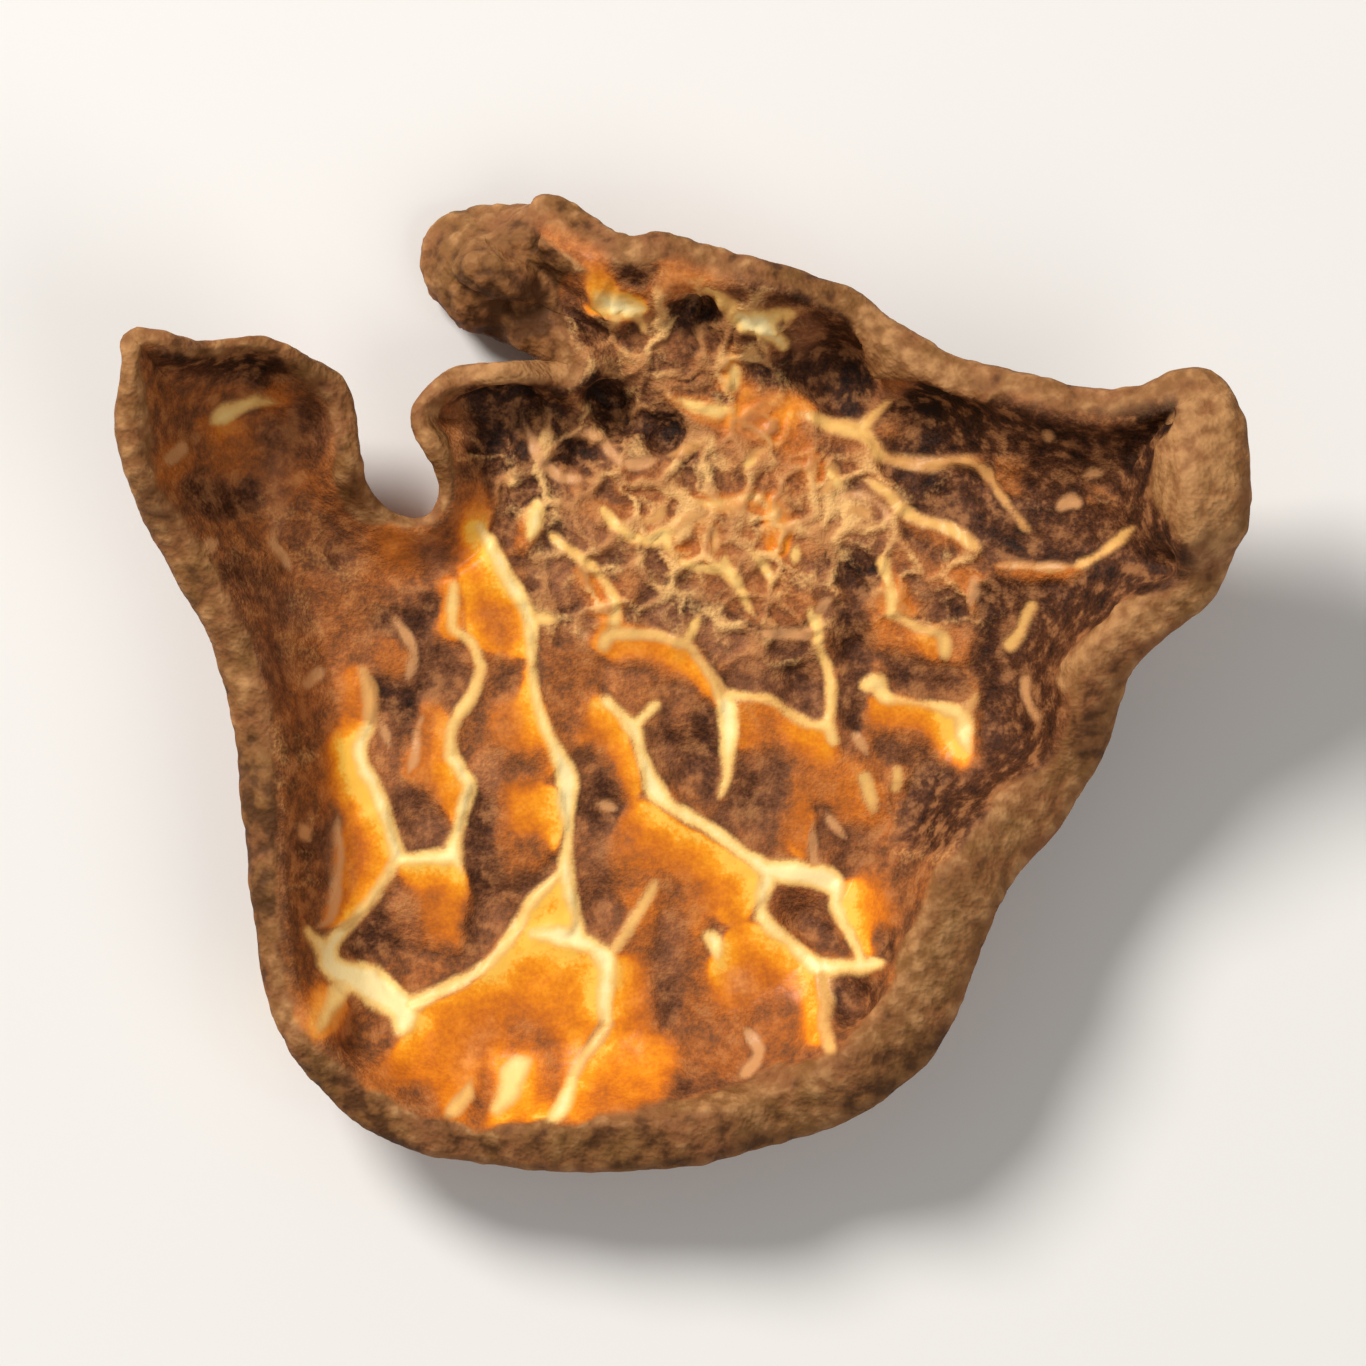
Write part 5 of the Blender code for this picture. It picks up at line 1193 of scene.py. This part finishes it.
# %% [markdown]
# ## The underside
#
# The underside is the other cut face. The veins run down through the thin slice, so they come out
# nearly where they went in: the fields of the cut face are read again a millimetre or so away, by a
# distance that drifts. A net of cells could draw it too, but its even cells looked like a pelt.

# %% Fields of the underside
DRIFT, FINE_DRIFT = 1.5, 0.45
drift_x = gx + DRIFT * soft_noise(gx, gy, 3.4, 61) + FINE_DRIFT * soft_noise(gx, gy, 1.3, 62)
drift_y = gy + DRIFT * soft_noise(gx, gy, 3.4, 63) + FINE_DRIFT * soft_noise(gx, gy, 1.3, 64)


def drifted(field):
    """The cut face's field, read where the veins came from."""
    return sample(field, DETAIL_STEP, drift_x, drift_y)


under_vein = drifted(vein_field) + 0.03 + 0.05 * soft_noise(gx, gy, 0.8, 65)
under_tone = drifted(tone_field) * np.clip(0.8 + 0.4 * soft_noise(gx, gy, 2.4, 66), 0, 1)
under_warmth = drifted(warmth_field) + 0.10 * soft_noise(gx, gy, 0.9, 67)
under_rose = drifted(rose_field)
under_ridge = 0.5 * drifted(crinkle_field * ridge_field)
under_relief = vein_relief(under_vein, under_tone, under_warmth)
under_relief += 0.05 * fine_ridge + 0.05 * soft_noise(gx, gy, 0.8, 68)
print("underside: veins cover", round(float((under_vein < 0).mean()) * 100), "percent of the grid")

# %% [markdown]
# ## An even side wall
#
# Voxels leave small steps along the outline, and the steep bend would turn them into ribs. The real
# edge is one clean cut, so each point of the side wall is moved to the median distance that points
# of its height have from the outline. More smoothing would round the edge away instead.

# %% Even the side wall
WALL_LEVELS = 15
WALL_BAND = 0.6
MOST_SHIFT = 0.25
LUMP_CLEARANCE = 1.3
STRIP_CLEARANCE = 0.9


def read_vectors(collection, name, count):
    values = np.empty(count * 3)
    collection.foreach_get(name, values)
    return values.reshape(-1, 3)


def even_wall(places, normals):
    """Shift the side wall's points across the outline, onto one profile. Lumps stay as they are."""
    x, y, t = places.T
    away = sample(edge_field, CURL_STEP, x, y)
    slopes = np.gradient(edge_field, CURL_STEP)
    across = np.stack([sample(slope, CURL_STEP, x, y) for slope in slopes])
    across /= np.maximum(np.linalg.norm(across, axis=0), 0.2)
    upright = np.abs(normals[:, 2])
    wall = (upright < 0.95) & (np.abs(away) < WALL_BAND) & (np.abs(t) < FLAT_THICKNESS / 2)
    balls = [(px, py, LUMP_CLEARANCE * max(a, b)) for px, py, _, a, b, _ in LUMPS]
    balls += [(px, py, STRIP_CLEARANCE) for px, py, _ in strip_points]
    for px, py, reach in balls:
        wall &= np.hypot(x - px, y - py) > reach
    steep = wall & (upright < 0.8)
    levels = np.linspace(*np.percentile(t[steep], (2, 98)), WALL_LEVELS)
    near = levels[1] - levels[0]
    profile = [np.median(away[steep & (np.abs(t - level) <= near)]) for level in levels]
    shift = np.clip(np.interp(t, levels, profile) - away, -MOST_SHIFT, MOST_SHIFT)
    shift *= wall * step_between(0.95, 0.65, upright)
    places[:, :2] += (across * shift).T
    print("side wall: profile", np.round(profile[::3], 2), "mean shift",
          round(float(np.abs(shift[steep]).mean()), 3), "mm")


mesh = truffle.data
count = len(mesh.vertices)
flat = read_vectors(mesh.vertices, "co", count)
flat_normal = read_vectors(mesh.vertex_normals, "vector", count)
even_wall(flat, flat_normal)

# %% [markdown]
# ## Bend the blank
#
# Each point of the flat skin moves onto the curled middle surface and out along its normal. At its
# new place it reads the fields: how far the nearest vein is, how amber or dark the flesh is, and
# how much of the point is skin. The material needs these numbers later.

# %% Bend and read the fields
x, y, t = flat.T
fx, fy = sample(slope_x, CURL_STEP, x, y), sample(slope_y, CURL_STEP, x, y)
normal = np.stack([-fx, -fy, np.ones(count)], 1)
normal /= np.linalg.norm(normal, axis=1, keepdims=True)
slab_t = np.clip(t, -FLAT_THICKNESS / 2, FLAT_THICKNESS / 2)
offset = slab_t / FLAT_THICKNESS * sample(thickness_field, CURL_STEP, x, y)
points = np.stack([x, y, sample(middle_field, CURL_STEP, x, y) + t - slab_t], 1)
points += offset[:, None] * normal
from_edge = sample(edge_field, CURL_STEP, x, y)
px, py = points[:, 0], points[:, 1]
top_share = step_between(-0.1, 0.5, t / FLAT_THICKNESS)


def both_faces(top_field, under_field):
    """A field's value on the cut face, and another's on the underside."""
    upper = sample(top_field, DETAIL_STEP, px, py)
    lower = sample(under_field, DETAIL_STEP, x, y)
    return upper * top_share + lower * (1 - top_share)


KNOB_ROUNDS = [(-4.45, 9.75, 1.60), (-3.5, 9.5, 1.15), (-4.3, 8.7, 0.9)]
knob = np.zeros(count)
for kx, ky, radius in KNOB_ROUNDS:
    knob = np.maximum(knob, step_between(1.1, 0.8, np.hypot(px - kx, py - ky) / radius))
upper_skin = step_between(-0.05, 0.08, sample(flesh_edge, DETAIL_STEP, px, py))
strip_away = np.min([np.hypot(px - sx, py - sy) for sx, sy, _ in strip_points], axis=0)
upper_skin *= step_between(0.25, 0.40, strip_away)
lower_skin = step_between(0.5, 0.2, from_edge)
skin = upper_skin * top_share + lower_skin * (1 - top_share)
vein = both_faces(vein_field, under_vein)
tone = both_faces(tone_field, under_tone)
warmth = both_faces(warmth_field, under_warmth)
rose = both_faces(rose_field, under_rose)
# Skin tones with painted shade and painted light, read at each point.
skin_tone_and_painted_light = sample(skin_tone_and_painted_light_field, DETAIL_STEP, px, py)
ridge_share = crinkle_field * np.maximum(ridge_field, 0.4 * fine_ridge)
ridge_share *= step_between(0.08, 0.26, warmth_field)
ridge = both_faces(ridge_share, under_ridge)
lift = both_faces(relief_field, under_relief) * (1 - skin)
lift *= step_between(0.05, 0.5, from_edge)
direction = np.where(t[:, None] >= 0, 1, -1) * normal
points += lift[:, None] * direction
print("flesh", round(float((skin < 0.5).mean()), 2), "of the points, skin the rest")

# %% [markdown]
# ## Grain of the skin
#
# The skin of a truffle is covered in small warts. Dried, they are flat bumps about 0.4 mm across.
# They are pushed out along the normals of the bent mesh, with noise that works in depth, so the
# grain runs on around the edge. The knob is all skin, and its warts are twice as high.

# %% Warts and small bumps
WART_SIZE = 0.42
WART_RISE = 0.055
KNOB_WARTS = 2.0
LUMP_SIZE = 1.6
LUMP_RISE = 0.10


def wart_height(point):
    """High in the middle of the nearest wart and low between warts."""
    spot = Vector(point) / WART_SIZE
    nearest = noise.voronoi(spot, distance_metric="DISTANCE", exponent=2.5)[0]
    return (0.55 - min(nearest[0], 0.9)) + 0.35 * noise.noise(spot * 1.3)


mesh.vertices.foreach_set("co", points.astype(np.float32).ravel())
mesh.update()
bent_normal = read_vectors(mesh.vertex_normals, "vector", count)
wart = np.zeros(count)
for k in np.nonzero(skin > 0.05)[0]:
    wart[k] = wart_height(points[k])
rise = WART_RISE * np.where(knob > 0.3, KNOB_WARTS, 1.0)
lump = np.array([noise.noise(Vector(point) / LUMP_SIZE) for point in points]) * LUMP_RISE
points += (skin * (wart * rise + lump))[:, None] * bent_normal
print("warts from", wart.min().round(2), "to", wart.max().round(2))

# %% [markdown]
# ## Lay the slice in its place
#
# The slice rests on the flat middle of its underside. It is lowered until that patch is flat, and
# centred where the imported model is. The fields go onto the mesh as named attributes, one number for
# each point, because a material can read those by name.

# %% Settle and scale to metres
FLAT_CUT = 0.20
points[:, 2] -= points[:, 2].min() + FLAT_CUT
points[:, 2] = np.maximum(points[:, 2], 0)
cad_low, cad_high = np.array(cad_bounds[0]) / MM, np.array(cad_bounds[1]) / MM
middle = (points.min(0) + points.max(0)) / 2
points[:, :2] += ((cad_low + cad_high) / 2 - middle)[:2]
print("slice", np.ptp(points, axis=0).round(2), "mm, model", (cad_high - cad_low).round(2))
mesh.vertices.foreach_set("co", (points * MM).astype(np.float32).ravel())
fields = {"vein": vein, "tone": tone, "warmth": warmth, "rose": rose,
          "ridge": ridge, "skin_tone_and_painted_light": skin_tone_and_painted_light, "skin": skin, "wart": wart}
for name, values in fields.items():
    layer = mesh.attributes.new(name, "FLOAT", "POINT")
    layer.data.foreach_set("value", values.astype(np.float32))
mesh.update()
mesh.shade_smooth()
print("attributes:", ", ".join(fields))

# %% [markdown]
# ## Material helpers
#
# A material is a small program of nodes. These helpers add a node, join sockets and build a group
# whose sockets have names, so that the programs below read from left to right.

# %% Node helpers
def add_node(tree, kind, **settings):
    node = tree.nodes.new(kind)
    for name, value in settings.items():
        setattr(node, name, value)
    return node


def feed(tree, socket, value):
    """Join an output to a socket, or set the socket to a number or colour."""
    if isinstance(value, bpy.types.NodeSocket):
        tree.links.new(value, socket)
    else:
        socket.default_value = value


def math_node(tree, operation, first, second=0.5, third=0.5):
    node = add_node(tree, "ShaderNodeMath", operation=operation)
    for socket, value in zip(node.inputs, (first, second, third)):
        feed(tree, socket, value)
    return node.outputs[0]


def ramp_value(tree, value, low, high, start=0.0, end=1.0):
    """Value mapped from low..high to start..end, held at both ends."""
    node = add_node(tree, "ShaderNodeMapRange", interpolation_type="SMOOTHSTEP")
    for name, number in (("From Min", low), ("From Max", high), ("To Min", start), ("To Max", end)):
        node.inputs[name].default_value = number
    feed(tree, node.inputs["Value"], value)
    return node.outputs["Result"]


def mix_colour(tree, factor, first, second, blend="MIX"):
    node = add_node(tree, "ShaderNodeMix", data_type="RGBA", blend_type=blend)
    feed(tree, node.inputs["Factor"], factor)
    feed(tree, node.inputs["A"], first)
    feed(tree, node.inputs["B"], second)
    return node.outputs["Result"]


def attribute(tree, name):
    return add_node(tree, "ShaderNodeAttribute", attribute_name=name).outputs["Fac"]


def new_group(name, inputs, outputs):
    """A node group with named sockets. Returns its tree, its inputs and its output node."""
    tree = bpy.data.node_groups.new(name, "ShaderNodeTree")
    for socket, kind, default in inputs:
        made = tree.interface.new_socket(socket, in_out="INPUT", socket_type=kind)
        made.default_value = default
    for socket, kind in outputs:
        tree.interface.new_socket(socket, in_out="OUTPUT", socket_type=kind)
    start = add_node(tree, "NodeGroupInput")
    end = add_node(tree, "NodeGroupOutput")
    return tree, start.outputs, end.inputs


def use_group(tree, group, **values):
    node = add_node(tree, "ShaderNodeGroup", node_tree=group)
    for name, value in values.items():
        feed(tree, node.inputs[name.replace("_", " ")], value)
    return node.outputs


# %% [markdown]
# ## Grain, a group that flesh and skin share
#
# Dried tissue is never one colour: it has clouds about half a millimetre across and a grain of a
# tenth. The group gives both as values, and their sum as a height for the bump. Object coordinates
# keep it in place on the slice from every side.

# %% Group: tissue grain
def build_grain():
    tree, source, sink = new_group(
        "Tissue grain",
        [("Cloud size", "NodeSocketFloat", 0.5), ("Grain size", "NodeSocketFloat", 0.12)],
        [("Clouds", "NodeSocketFloat"), ("Grain", "NodeSocketFloat"),
         ("Height", "NodeSocketFloat")])
    place = add_node(tree, "ShaderNodeTexCoord").outputs["Object"]
    values = []
    for size, detail in (("Cloud size", 3.0), ("Grain size", 1.5)):
        noise_node = add_node(tree, "ShaderNodeTexNoise")
        noise_node.inputs["Detail"].default_value = detail
        noise_node.inputs["Roughness"].default_value = 0.6
        feed(tree, noise_node.inputs["Vector"], place)
        feed(tree, noise_node.inputs["Scale"], math_node(tree, "DIVIDE", 1 / MM, source[size]))
        values.append(ramp_value(tree, noise_node.outputs["Fac"], 0.22, 0.78))
    feed(tree, sink["Clouds"], values[0])
    feed(tree, sink["Grain"], values[1])
    feed(tree, sink["Height"], math_node(tree, "MULTIPLY_ADD", values[0], 0.5, values[1]))
    return tree


grain_group = build_grain()
print("grain group of", len(grain_group.nodes), "nodes")

# %% [markdown]
# ## Marbled flesh
#
# The group turns the stored numbers into colour. A colour ramp holds the scale of pigments, and the
# grain shifts each point a little along it, which gives amber its deeper and paler clouds. Dull
# cells carry pale specks, and the crests of the folds are tan or gold. Veins lie on top: golden at
# the edge, and paler the deeper a point is inside a broad vein. A stored distance decides where a
# vein ends, so its edge stays fine however close the camera comes.

# %% Group: marbled flesh
# The lowest stop is the darkest flesh and, in the cells over the dug hollows, painted shadow.
PIGMENTS = [
    (0.00, (0.014, 0.0045, 0.0014)), (0.15, (0.070, 0.0210, 0.0060)),
    (0.30, (0.180, 0.0620, 0.0200)), (0.46, (0.370, 0.1050, 0.0180)),
    (0.60, (0.560, 0.1450, 0.0120)), (0.76, (0.760, 0.2250, 0.0090)),
    (0.88, (0.880, 0.3200, 0.0120)), (1.00, (0.930, 0.5200, 0.0700)),
]
VEIN_LIGHTS = [
    (0.00, (0.500, 0.215, 0.065)), (0.30, (0.640, 0.310, 0.095)),
    (0.55, (0.830, 0.480, 0.140)), (0.78, (0.950, 0.640, 0.220)),
    (1.00, (1.000, 0.800, 0.385)),
]
DUSTY_ROSE = (0.31, 0.122, 0.055, 1)
SALMON = (0.80, 0.340, 0.110, 1)
RIDGE_TAN = (0.50, 0.220, 0.075, 1)
RIDGE_GOLD = (0.86, 0.500, 0.180, 1)
SPECK_TAN = (0.40, 0.175, 0.060, 1)
PINK_VEIN = (0.70, 0.350, 0.150, 1)


def colour_ramp(tree, value, stops):
    node = add_node(tree, "ShaderNodeValToRGB")
    elements = node.color_ramp.elements
    while len(elements) < len(stops):
        elements.new(1.0)
    for element, (position, colour) in zip(elements, stops):
        element.position = position
        element.color = (*colour, 1)
    feed(tree, node.inputs["Fac"], value)
    return node.outputs["Color"]


def build_flesh():
    tree, source, sink = new_group(
        "Marbled flesh",
        [("Clouds", "NodeSocketFloat", 0.5), ("Grain", "NodeSocketFloat", 0.5),
         ("Specks", "NodeSocketFloat", 0.5), ("Folds", "NodeSocketFloat", 0.5)],
        [("Color", "NodeSocketColor"), ("Shine", "NodeSocketFloat")])
    clouds = math_node(tree, "SUBTRACT", source["Clouds"], 0.5)
    grain = math_node(tree, "SUBTRACT", source["Grain"], 0.5)
    vein, tone = attribute(tree, "vein"), attribute(tree, "tone")
    warmth = attribute(tree, "warmth")
    near = math_node(tree, "MULTIPLY", ramp_value(tree, vein, 0.75, 0.0), tone)
    amber = ramp_value(tree, warmth, 0.40, 0.75)
    glow = math_node(tree, "MULTIPLY", near, ramp_value(tree, amber, 0.0, 1.0, 0.04, 0.33))
    warmth = math_node(tree, "ADD", warmth, glow)
    warmth = math_node(tree, "SUBTRACT", warmth, math_node(tree, "MULTIPLY", amber, 0.13))
    unrest = ramp_value(tree, amber, 0.0, 1.0, 0.26, 0.18)
    warmth = math_node(tree, "MULTIPLY_ADD", clouds, unrest, warmth)
    warmth = math_node(tree, "MULTIPLY_ADD", grain, 0.11, warmth)
    base = colour_ramp(tree, warmth, PIGMENTS)
    dusty = mix_colour(tree, ramp_value(tree, warmth, 0.35, 0.75), DUSTY_ROSE, SALMON)
    rose = math_node(tree, "MULTIPLY_ADD", clouds, 0.4, attribute(tree, "rose"))
    base = mix_colour(tree, ramp_value(tree, rose, 0.0, 1.0, 0.0, 0.75), base, dusty)
    dull = math_node(tree, "SUBTRACT", 1.0, amber)
    specks = math_node(tree, "MULTIPLY", ramp_value(tree, source["Specks"], 0.50, 1.0), dull)
    base = mix_colour(tree, math_node(tree, "MULTIPLY", specks, 0.55), base, SPECK_TAN)
    ridge = math_node(tree, "MULTIPLY_ADD", grain, 0.3, attribute(tree, "ridge"))
    fold = mix_colour(tree, ramp_value(tree, source["Folds"], 0.25, 0.75), RIDGE_TAN, RIDGE_GOLD)
    base = mix_colour(tree, ramp_value(tree, ridge, 0.1, 1.0, 0.0, 0.85), base, fold)
    vein = math_node(tree, "MULTIPLY_ADD", clouds, 0.07, vein)
    vein = math_node(tree, "MULTIPLY_ADD", grain, 0.025, vein)
    depth = ramp_value(tree, vein, 0.05, -0.19, 0.55, 1.0)
    light = colour_ramp(tree, math_node(tree, "MULTIPLY", depth, tone), VEIN_LIGHTS)
    light = mix_colour(tree, ramp_value(tree, tone, 0.40, 0.1, 0.0, 0.7), light, PINK_VEIN)
    cover = ramp_value(tree, vein, 0.10, -0.05)
    cover = math_node(tree, "MULTIPLY", cover, ramp_value(tree, tone, 0.0, 0.6, 0.80, 1.0))
    feed(tree, sink["Color"], mix_colour(tree, cover, base, light))
    feed(tree, sink["Shine"], math_node(tree, "MAXIMUM", amber, cover))
    return tree


flesh_group = build_flesh()
print("flesh group of", len(flesh_group.nodes), "nodes")

# %% [markdown]
# ## Grainy skin
#
# The skin is a brown that drifts between olive and rosy, darker between its warts and paler on
# top of them. Under some of the stored ovals it is darker or paler as painted shade and painted
# light.

# %% Group: grainy skin
SKIN_DEEP = (0.060, 0.020, 0.005, 1)
SKIN_BROWN = (0.220, 0.086, 0.024, 1)
SKIN_OLIVE = (0.180, 0.090, 0.021, 1)
SKIN_ROSY = (0.300, 0.108, 0.042, 1)
SKIN_PALE = (0.480, 0.240, 0.090, 1)


def build_skin():
    tree, source, sink = new_group(
        "Grainy skin",
        [("Clouds", "NodeSocketFloat", 0.5), ("Grain", "NodeSocketFloat", 0.5)],
        [("Color", "NodeSocketColor")])
    wart, skin_tone_and_painted_light = attribute(tree, "wart"), attribute(tree, "skin_tone_and_painted_light")
    body = mix_colour(tree, source["Clouds"], SKIN_OLIVE, SKIN_ROSY)
    body = mix_colour(tree, 0.5, body, SKIN_BROWN)
    # The ovals' painted shade and painted light join the warts and the grain here: under the dark
    # ovals SKIN_DEEP is painted shade, under the pale ones SKIN_PALE is painted light.
    level = math_node(tree, "MULTIPLY_ADD", skin_tone_and_painted_light, 0.55, wart)
    level = math_node(tree, "MULTIPLY_ADD", source["Grain"], 0.35, level)
    body = mix_colour(tree, ramp_value(tree, level, 0.10, -0.45, 0.0, 0.80), body, SKIN_DEEP)
    pale = ramp_value(tree, level, 0.05, 0.95, 0.0, 0.85)
    feed(tree, sink["Color"], mix_colour(tree, pale, body, SKIN_PALE))
    return tree


skin_group = build_skin()
print("skin group of", len(skin_group.nodes), "nodes")

# %% [markdown]
# ## The truffle's material
#
# Flesh and skin are one surface, so they share one material, and the stored skin value chooses
# between them. Amber and veins are smooth and a little glossy; dull flesh and skin are dry.

# %% Material: dried truffle
BUMP_DEPTH = 0.05 * MM


def build_truffle_material():
    material = bpy.data.materials.new("dried truffle")
    material.use_nodes = True
    tree = material.node_tree
    shader = tree.nodes["Principled BSDF"]
    fine = use_group(tree, grain_group, Cloud_size=0.45, Grain_size=0.09)
    coarse = use_group(tree, grain_group, Cloud_size=1.1, Grain_size=0.20)
    flesh = use_group(tree, flesh_group, Clouds=fine["Clouds"], Grain=fine["Grain"],
                      Specks=fine["Clouds"], Folds=coarse["Clouds"])
    hide = use_group(tree, skin_group, Clouds=coarse["Clouds"], Grain=coarse["Grain"])
    skin_share = attribute(tree, "skin")
    colour = mix_colour(tree, skin_share, flesh["Color"], hide["Color"])
    feed(tree, shader.inputs["Base Color"], colour)
    smooth = math_node(tree, "SUBTRACT", 1.0, skin_share)
    smooth = math_node(tree, "MULTIPLY", smooth, flesh["Shine"])
    feed(tree, shader.inputs["Roughness"], ramp_value(tree, smooth, 0.0, 1.0, 0.70, 0.38))
    bump = add_node(tree, "ShaderNodeBump")
    bump.inputs["Strength"].default_value = 0.5
    bump.inputs["Distance"].default_value = BUMP_DEPTH
    flesh_height = ramp_value(tree, smooth, 0.0, 1.0, 0.7, 0.1)
    flesh_height = math_node(tree, "MULTIPLY", fine["Height"], flesh_height)
    height = add_node(tree, "ShaderNodeMix", data_type="FLOAT")
    feed(tree, height.inputs["Factor"], skin_share)
    feed(tree, height.inputs["A"], flesh_height)
    feed(tree, height.inputs["B"], math_node(tree, "MULTIPLY", coarse["Height"], 1.4))
    feed(tree, bump.inputs["Height"], height.outputs["Result"])
    shader.inputs["Specular IOR Level"].default_value = 0.18
    feed(tree, shader.inputs["Normal"], bump.outputs["Normal"])
    return material


mesh.materials.clear()
mesh.materials.append(build_truffle_material())
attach(truffle, "root")
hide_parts(NODE)
print(truffle.name, "carries", mesh.materials[0].name)

# %% [markdown]
# ## A floor to lie on
#
# The slice lies on something pale, so its dark edge reads clearly. A plane is enough for that, with
# a faint mottle so that it doesn't look like paper.

# %% Floor
FLOOR_SIZE = 1.2
FLOOR_COLOUR = (0.80, 0.79, 0.77, 1)
FLOOR_MOTTLE = (0.70, 0.69, 0.67, 1)


def build_floor():
    bpy.ops.mesh.primitive_plane_add(size=FLOOR_SIZE, location=(0, 0, 0))
    floor = bpy.context.object
    floor.name = "floor"
    material = bpy.data.materials.new("pale floor")
    material.use_nodes = True
    tree = material.node_tree
    shader = tree.nodes["Principled BSDF"]
    mottle = add_node(tree, "ShaderNodeTexNoise")
    mottle.inputs["Scale"].default_value = 30.0
    tint = mix_colour(tree, ramp_value(tree, mottle.outputs["Fac"], 0.3, 0.7, 0.0, 0.04),
                      FLOOR_COLOUR, FLOOR_MOTTLE)
    feed(tree, shader.inputs["Base Color"], tint)
    shader.inputs["Roughness"].default_value = 0.7
    floor.data.materials.append(material)
    return floor


build_floor()
print("floor", FLOOR_SIZE, "m wide")

# %% [markdown]
# ## Light
#
# Relief this low shows only in slanting light. So one soft light stands high on the left of the far
# side, and a broader, weaker one opposite it opens the shadows without taking them away.

# %% Lights
def area_light(name, place, size, power, colour):
    light = bpy.data.lights.new(name, "AREA")
    light.shape = "DISK"
    light.size = size
    light.energy = power
    light.color = colour
    obj = bpy.data.objects.new(name, light)
    bpy.context.scene.collection.objects.link(obj)
    obj.location = place
    obj.rotation_euler = (-Vector(place)).to_track_quat("-Z", "Y").to_euler()
    return obj


WARM_WHITE = (1.0, 0.98, 0.96)
SKY_STRENGTH = 0.25
area_light("key light", (-0.20, 0.22, 0.26), 0.14, 1.80, (1.0, 0.97, 0.93))
area_light("fill light", (0.25, -0.20, 0.35), 0.35, 0.55, WARM_WHITE)
world = bpy.data.worlds.new("studio")
world.use_nodes = True
sky = world.node_tree.nodes["Background"]
sky.inputs["Color"].default_value = (*WARM_WHITE, 1)
sky.inputs["Strength"].default_value = SKY_STRENGTH
bpy.context.scene.world = world
bpy.context.scene.view_settings.view_transform = "Standard"
print("two lights and a dim sky of strength", SKY_STRENGTH)

# %% [markdown]
# ## Camera
#
# The slice is seen from straight above. A long lens from far away keeps the raised rim from looking
# larger than the middle, as a wide lens close by would make it.

# %% Camera
VIEW_WIDTH = 0.031
CAMERA_HEIGHT = 0.60
FOCUS_HEIGHT = 0.003
camera_data = bpy.data.cameras.new("camera")
camera_data.sensor_width = 36.0
camera_data.lens = camera_data.sensor_width * (CAMERA_HEIGHT - FOCUS_HEIGHT) / VIEW_WIDTH
camera_data.clip_start = 0.01
camera = bpy.data.objects.new("camera", camera_data)
bpy.context.scene.collection.objects.link(camera)
camera.location = (0, 0, CAMERA_HEIGHT)
bpy.context.scene.camera = camera
print("camera looks straight down from", CAMERA_HEIGHT, "m")
